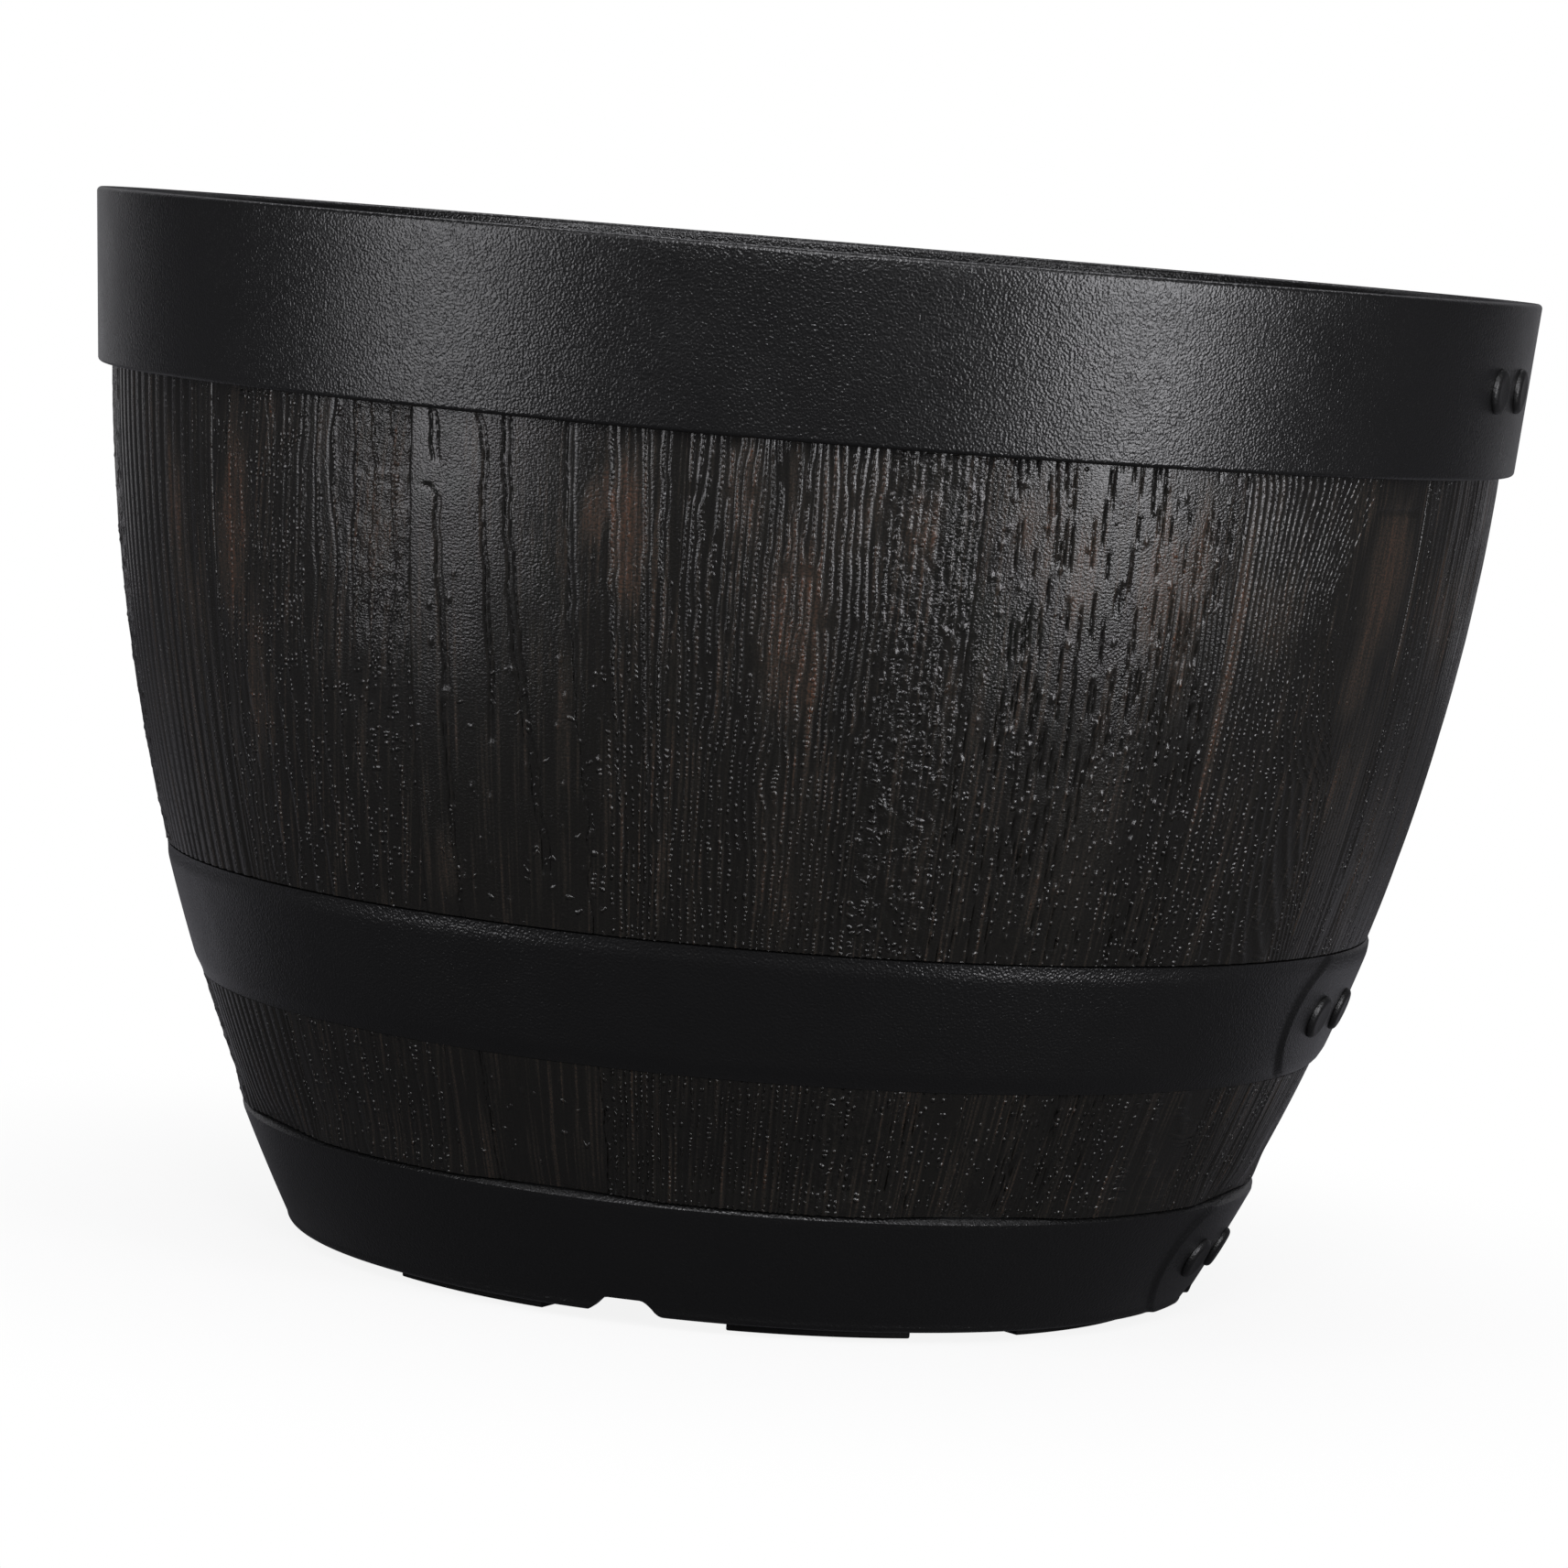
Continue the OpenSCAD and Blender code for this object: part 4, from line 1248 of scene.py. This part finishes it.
# %% [markdown]
# ## The hoops
# Each hoop is a strap with soft shoulders whose outer end laps over it, with a round tip, two rivets and a
# slope where it comes down again. The section is spun in two goes, with fine steps where the lap lies
# and coarser ones for the rest, and the lap is then raised from the fine part like clay.
# %% Spin the hoops and raise their laps
RIVET_AZ = 67.6
RIVET_SPACING = 22.6 * MM
LAP_T = 0.8 * MM
LAP_LENGTH = 58 * MM
LAP_SLOPE = 12 * MM
LAP_SOFT = 1.6 * MM
LAP_LINE = 0.6 * MM
LAP_LINE_DEPTH = 0.10 * MM
LAP_LINE_PAST = 0.5 * MM
END_MARGIN = 1.3 * MM
HOOP_STEP = 0.9 * MM
HOOP_EDGE = 0.1 * MM
END_SLACK = 0.1 * MM
MIDDLE_PROUD = 0.8 * MM
BASE_PROUD = 1.6 * MM
FINE_STEP = 0.30
COARSE_STEP = 1.2


def rivet_azimuth(i, radius):
    """Where the first or the second rivet of a band sits."""
    return RIVET_AZ + i * math.degrees(RIVET_SPACING / radius)


def raise_lap(hoop, low, high, proud):
    """Lifts the hoop's face where the strap's end lies over it, with a dark line round the tip."""
    azimuth, z, out = wall_place(mesh_points(hoop.data))
    middle = (low + high) / 2
    tilt = math.asin((middle - BELLY_Z) / CURVE_R)
    along = np.radians(azimuth - RIVET_AZ) * wall_radius(middle)
    across = (z - middle) / math.cos(tilt)
    half = (high - low) / 2 / math.cos(tilt)
    tip_r = half + END_MARGIN
    inside = np.where(along < 0, tip_r - np.hypot(along, across), tip_r)
    edge = half - np.abs(across)
    lift = smooth_step(inside / LAP_SOFT) * smooth_step((LAP_LENGTH - along) / LAP_SLOPE)
    lift = LAP_T * lift * smooth_step(edge / LAP_SOFT)
    line = np.where(along < 0, peak(inside + LAP_LINE_PAST, LAP_LINE), 0)
    near_face = smooth_step((out - (proud - 1.2 * MM)) / (0.3 * MM))
    out = out + near_face * (lift - LAP_LINE_DEPTH * line * smooth_step(edge / LAP_SOFT))
    hoop.data.vertices.foreach_set("co", wall_point(azimuth, z, out).ravel())
    hoop.data.update()


def make_hoop(name, low, high, proud, thickness, shoulder, foot_round):
    """Spins a hoop with soft shoulders. shoulder is how far in from an edge its face is full height."""
    face = []
    for z in np.arange(low + foot_round, high + END_SLACK, HOOP_STEP):
        z = min(z, high)
        top_share = float(smooth_step((high - z) / shoulder))
        foot_share = 1.0 if foot_round else float(smooth_step((z - low) / shoulder))
        out = HOOP_EDGE + (proud - HOOP_EDGE) * min(top_share, foot_share)
        face.append((wall_radius(z, out), z))
    if foot_round:
        foot_r = wall_radius(low + foot_round, proud)
        face = arc((foot_r - foot_round, low + foot_round), foot_round, -90, 0, 8)[:-1] + face
    back = wall_line(proud - thickness, high, low, 8 * MM)
    hoop = draw_section(name, face + back, closed=True)
    middle = (low + high) / 2
    lap_angle = math.degrees(LAP_LENGTH / wall_radius(middle))
    tip_angle = math.degrees(0.75 * (high - low) / wall_radius(middle))
    fine_angle = lap_angle + tip_angle
    spin(fine_angle, round(fine_angle / FINE_STEP))
    spin(360 - fine_angle, round((360 - fine_angle) / COARSE_STEP))
    close_up(45)
    hoop.data.transform(Matrix.Rotation(math.radians(RIVET_AZ - tip_angle), 4, "Z"))
    raise_lap(hoop, low, high, proud)
    return hoop


middle_hoop = make_hoop(
    "middle_hoop_strap",
    middle_low.z,
    middle_high.z,
    MIDDLE_PROUD,
    thickness=2 * MM,
    shoulder=5 * MM,
    foot_round=0,
)
finish_piece(middle_hoop, band_plastic, "pot", "band_plastic", "middle_hoop")
base_hoop = make_hoop(
    "base_hoop_strap",
    base_low.z,
    base_high.z,
    BASE_PROUD,
    thickness=2.6 * MM,
    shoulder=2.0 * MM,
    foot_round=2.2 * MM,
)
apply_boolean(base_hoop, round_the_pot(notch_cutter(), notch_azimuths), "DIFFERENCE")
finish_piece(base_hoop, band_plastic, "pot", "band_plastic", "base_hoop")

# %% [markdown]
# ## Rivets
# A rivet's head is a low button with a rounded shoulder and a very shallow dish in its face. The half
# section is drawn and spun about its own axis, once, and each copy is then put on its band, square to it.
# %% Spin one rivet and set the six
HEAD_R = 6 * MM
FACE_R = 4.3 * MM
FOOT_H = 0.2 * MM
HEAD_H = 1.5 * MM
DISH_R = 3.7 * MM
DISH_DEPTH = 0.10 * MM
SHANK_R = 2.0 * MM
SHANK_L = 2.8 * MM
RIVET_DROP = 23 * MM

dish = [(DISH_R * s, HEAD_H - DISH_DEPTH * (1 - s**3)) for s in (0.0, 0.3, 0.55, 0.75, 0.9, 1.0)]
shoulder = [
    (FACE_R + (HEAD_R - FACE_R) * math.sin(a), FOOT_H + (HEAD_H - FOOT_H) * math.cos(a))
    for a in np.radians(np.linspace(0, 84, 9))
]
section = dish + shoulder + [(HEAD_R, 0), (SHANK_R, 0), (SHANK_R, -SHANK_L), (0, -SHANK_L)]
rivet = draw_section("rivet", section, closed=False)
spin(360, 48)
close_up(40)

rim_rivet_z = TOP - RIVET_DROP
middle_rivet_z = (middle_low.z + middle_high.z) / 2
base_rivet_z = (base_low.z + base_high.z) / 2


def on_wall(azimuth, z, out):
    """Where a rivet's foot sits on the wall, looking straight out of it."""
    tilt = math.asin((z - BELLY_Z) / CURVE_R)
    foot = Matrix.Translation(wall_point(azimuth, z, out).tolist())
    turn = Matrix.Rotation(math.radians(azimuth), 4, "Z")
    return foot @ turn @ Matrix.Rotation(math.pi / 2 - tilt, 4, "X")


def on_rim(azimuth, z):
    """Where a rivet's foot sits on the rim band's sloping skirt."""
    radius = rim_radius(z)
    turn = math.radians(azimuth)
    foot = Matrix.Translation((radius * math.sin(turn), -radius * math.cos(turn), z))
    slope = math.atan(RIM_DRAFT / rim_h)
    return foot @ Matrix.Rotation(turn, 4, "Z") @ Matrix.Rotation(math.pi / 2 + slope, 4, "X")


def set_rivet(node, place):
    """A copy of the rivet, moved to its place in its mesh."""
    copy = turned_copy(rivet, node + "_head", 0)
    copy.data.transform(place)
    finish_piece(copy, rivet_plastic, "pot", "rivet_plastic", node)


for i in range(2):
    rim_az = rivet_azimuth(i, BELLY_R + RIM_PROUD)
    middle_az = rivet_azimuth(i, wall_radius(middle_rivet_z))
    base_az = rivet_azimuth(i, wall_radius(base_rivet_z))
    set_rivet(f"rim_rivet_{i + 1}", on_rim(rim_az, rim_rivet_z))
    set_rivet(f"middle_hoop_rivet_{i + 1}", on_wall(middle_az, middle_rivet_z, MIDDLE_PROUD + LAP_T))
    set_rivet(f"base_hoop_rivet_{i + 1}", on_wall(base_az, base_rivet_z, BASE_PROUD + LAP_T))
bpy.data.objects.remove(rivet)

# %% [markdown]
# ## Foot pads
# Eight rubber shoes are pushed over lugs under the foot. A pad is a short arc: its section is spun over
# 24 degrees, its top is inset and pressed down to make the socket, and a bevel softens its edges.
# %% Spin one pad and copy it
PAD_H = 4.4 * MM
PAD_SOCKET = 1.4 * MM
PAD_BEVEL = 0.5 * MM
pad_inner = PAD_OUTER - PAD_W
outline = [(pad_inner, 0), (PAD_OUTER, 0), (PAD_OUTER, PAD_H), (pad_inner, PAD_H)]
pad = draw_section("pad", outline, closed=True)
bpy.ops.mesh.edge_face_add()
spin(PAD_ANGLE, 24)
close_up(30)
bpy.ops.object.mode_set(mode="EDIT")
bpy.ops.mesh.select_mode(type="FACE")
bpy.ops.mesh.select_all(action="DESELECT")
bpy.ops.object.mode_set(mode="OBJECT")
for face in pad.data.polygons:
    face.select = face.normal.z > 0.9
bpy.ops.object.mode_set(mode="EDIT")
bpy.ops.mesh.inset(thickness=PAD_WALL - 0.1 * MM)
bpy.ops.mesh.extrude_region_move(TRANSFORM_OT_translate={"value": (0, 0, -PAD_SOCKET)})
bpy.ops.object.mode_set(mode="OBJECT")
bpy.ops.object.modifier_add(type="BEVEL")
pad.modifiers[-1].width = PAD_BEVEL
pad.modifiers[-1].segments = 3
pad.modifiers[-1].limit_method = "ANGLE"
pad.modifiers[-1].angle_limit = math.radians(50)
bpy.ops.object.modifier_apply(modifier=pad.modifiers[-1].name)
bpy.ops.object.shade_smooth_by_angle(angle=math.radians(35))
for i, azimuth in enumerate(pad_azimuths):
    copy = turned_copy(pad, f"rubber_foot_{i + 1}", azimuth - PAD_ANGLE / 2)
    finish_piece(copy, rubber, "pot", "pad_rubber", f"foot_pad_{i + 1}")
bpy.data.objects.remove(pad)

# %% [markdown]
# ## Drain plugs
# Four rubber plugs close the drain holes: a stem that fills the hole, a flange that seals in its seat and
# a knob to pull by. Each rides on its own body, so it lifts out when its joint moves.
# %% Spin one plug and copy it
PLUG_TIP = 7.5 * MM
STEM_R = 6.4 * MM
FLANGE_R = 10.5 * MM
FLANGE_LOW = 13.1 * MM
FLANGE_TOP = 15.1 * MM
KNOB_TOP = 20.6 * MM
KNOB_R = 4.5 * MM
NECK_R = 2.8 * MM
KNOB_EDGE = 1.2 * MM
FLANGE_EDGE = 0.6 * MM
NECK_FILLET = 1.2 * MM
section = (
    [(0, PLUG_TIP), (STEM_R - 1.2 * MM, PLUG_TIP), (STEM_R - 0.3 * MM, PLUG_TIP + 1.1 * MM)]
    + [(STEM_R, PLUG_TIP + 1.8 * MM), (STEM_R, FLANGE_LOW), (FLANGE_R - 0.2 * MM, FLANGE_LOW)]
    + [(FLANGE_R, FLANGE_LOW + 0.2 * MM)]
    + arc((FLANGE_R - FLANGE_EDGE, FLANGE_TOP - FLANGE_EDGE), FLANGE_EDGE, 0, 90, 6)
    + [(NECK_R + 1.4 * MM, FLANGE_TOP)]
    + arc((NECK_R + NECK_FILLET, FLANGE_TOP + NECK_FILLET), NECK_FILLET, 270, 180, 6)[1:]
    + [(NECK_R, KNOB_TOP - 2 * KNOB_EDGE - 0.3 * MM)]
    + arc((KNOB_R - KNOB_EDGE, KNOB_TOP - KNOB_EDGE), KNOB_EDGE, -90, 90, 12)
    + [(0, KNOB_TOP)]
)
plug = draw_section("plug", section, closed=False)
spin(360, 56)
close_up(40)
plug.data.transform(Matrix.Translation((0, -DRAIN_R, 0)))
for i, azimuth in enumerate(notch_azimuths):
    copy = turned_copy(plug, f"rubber_plug_{i + 1}", azimuth)
    finish_piece(copy, rubber, f"drain_plug_{i + 1}", "plug_rubber", f"drain_plug_{i + 1}")
bpy.data.objects.remove(plug)
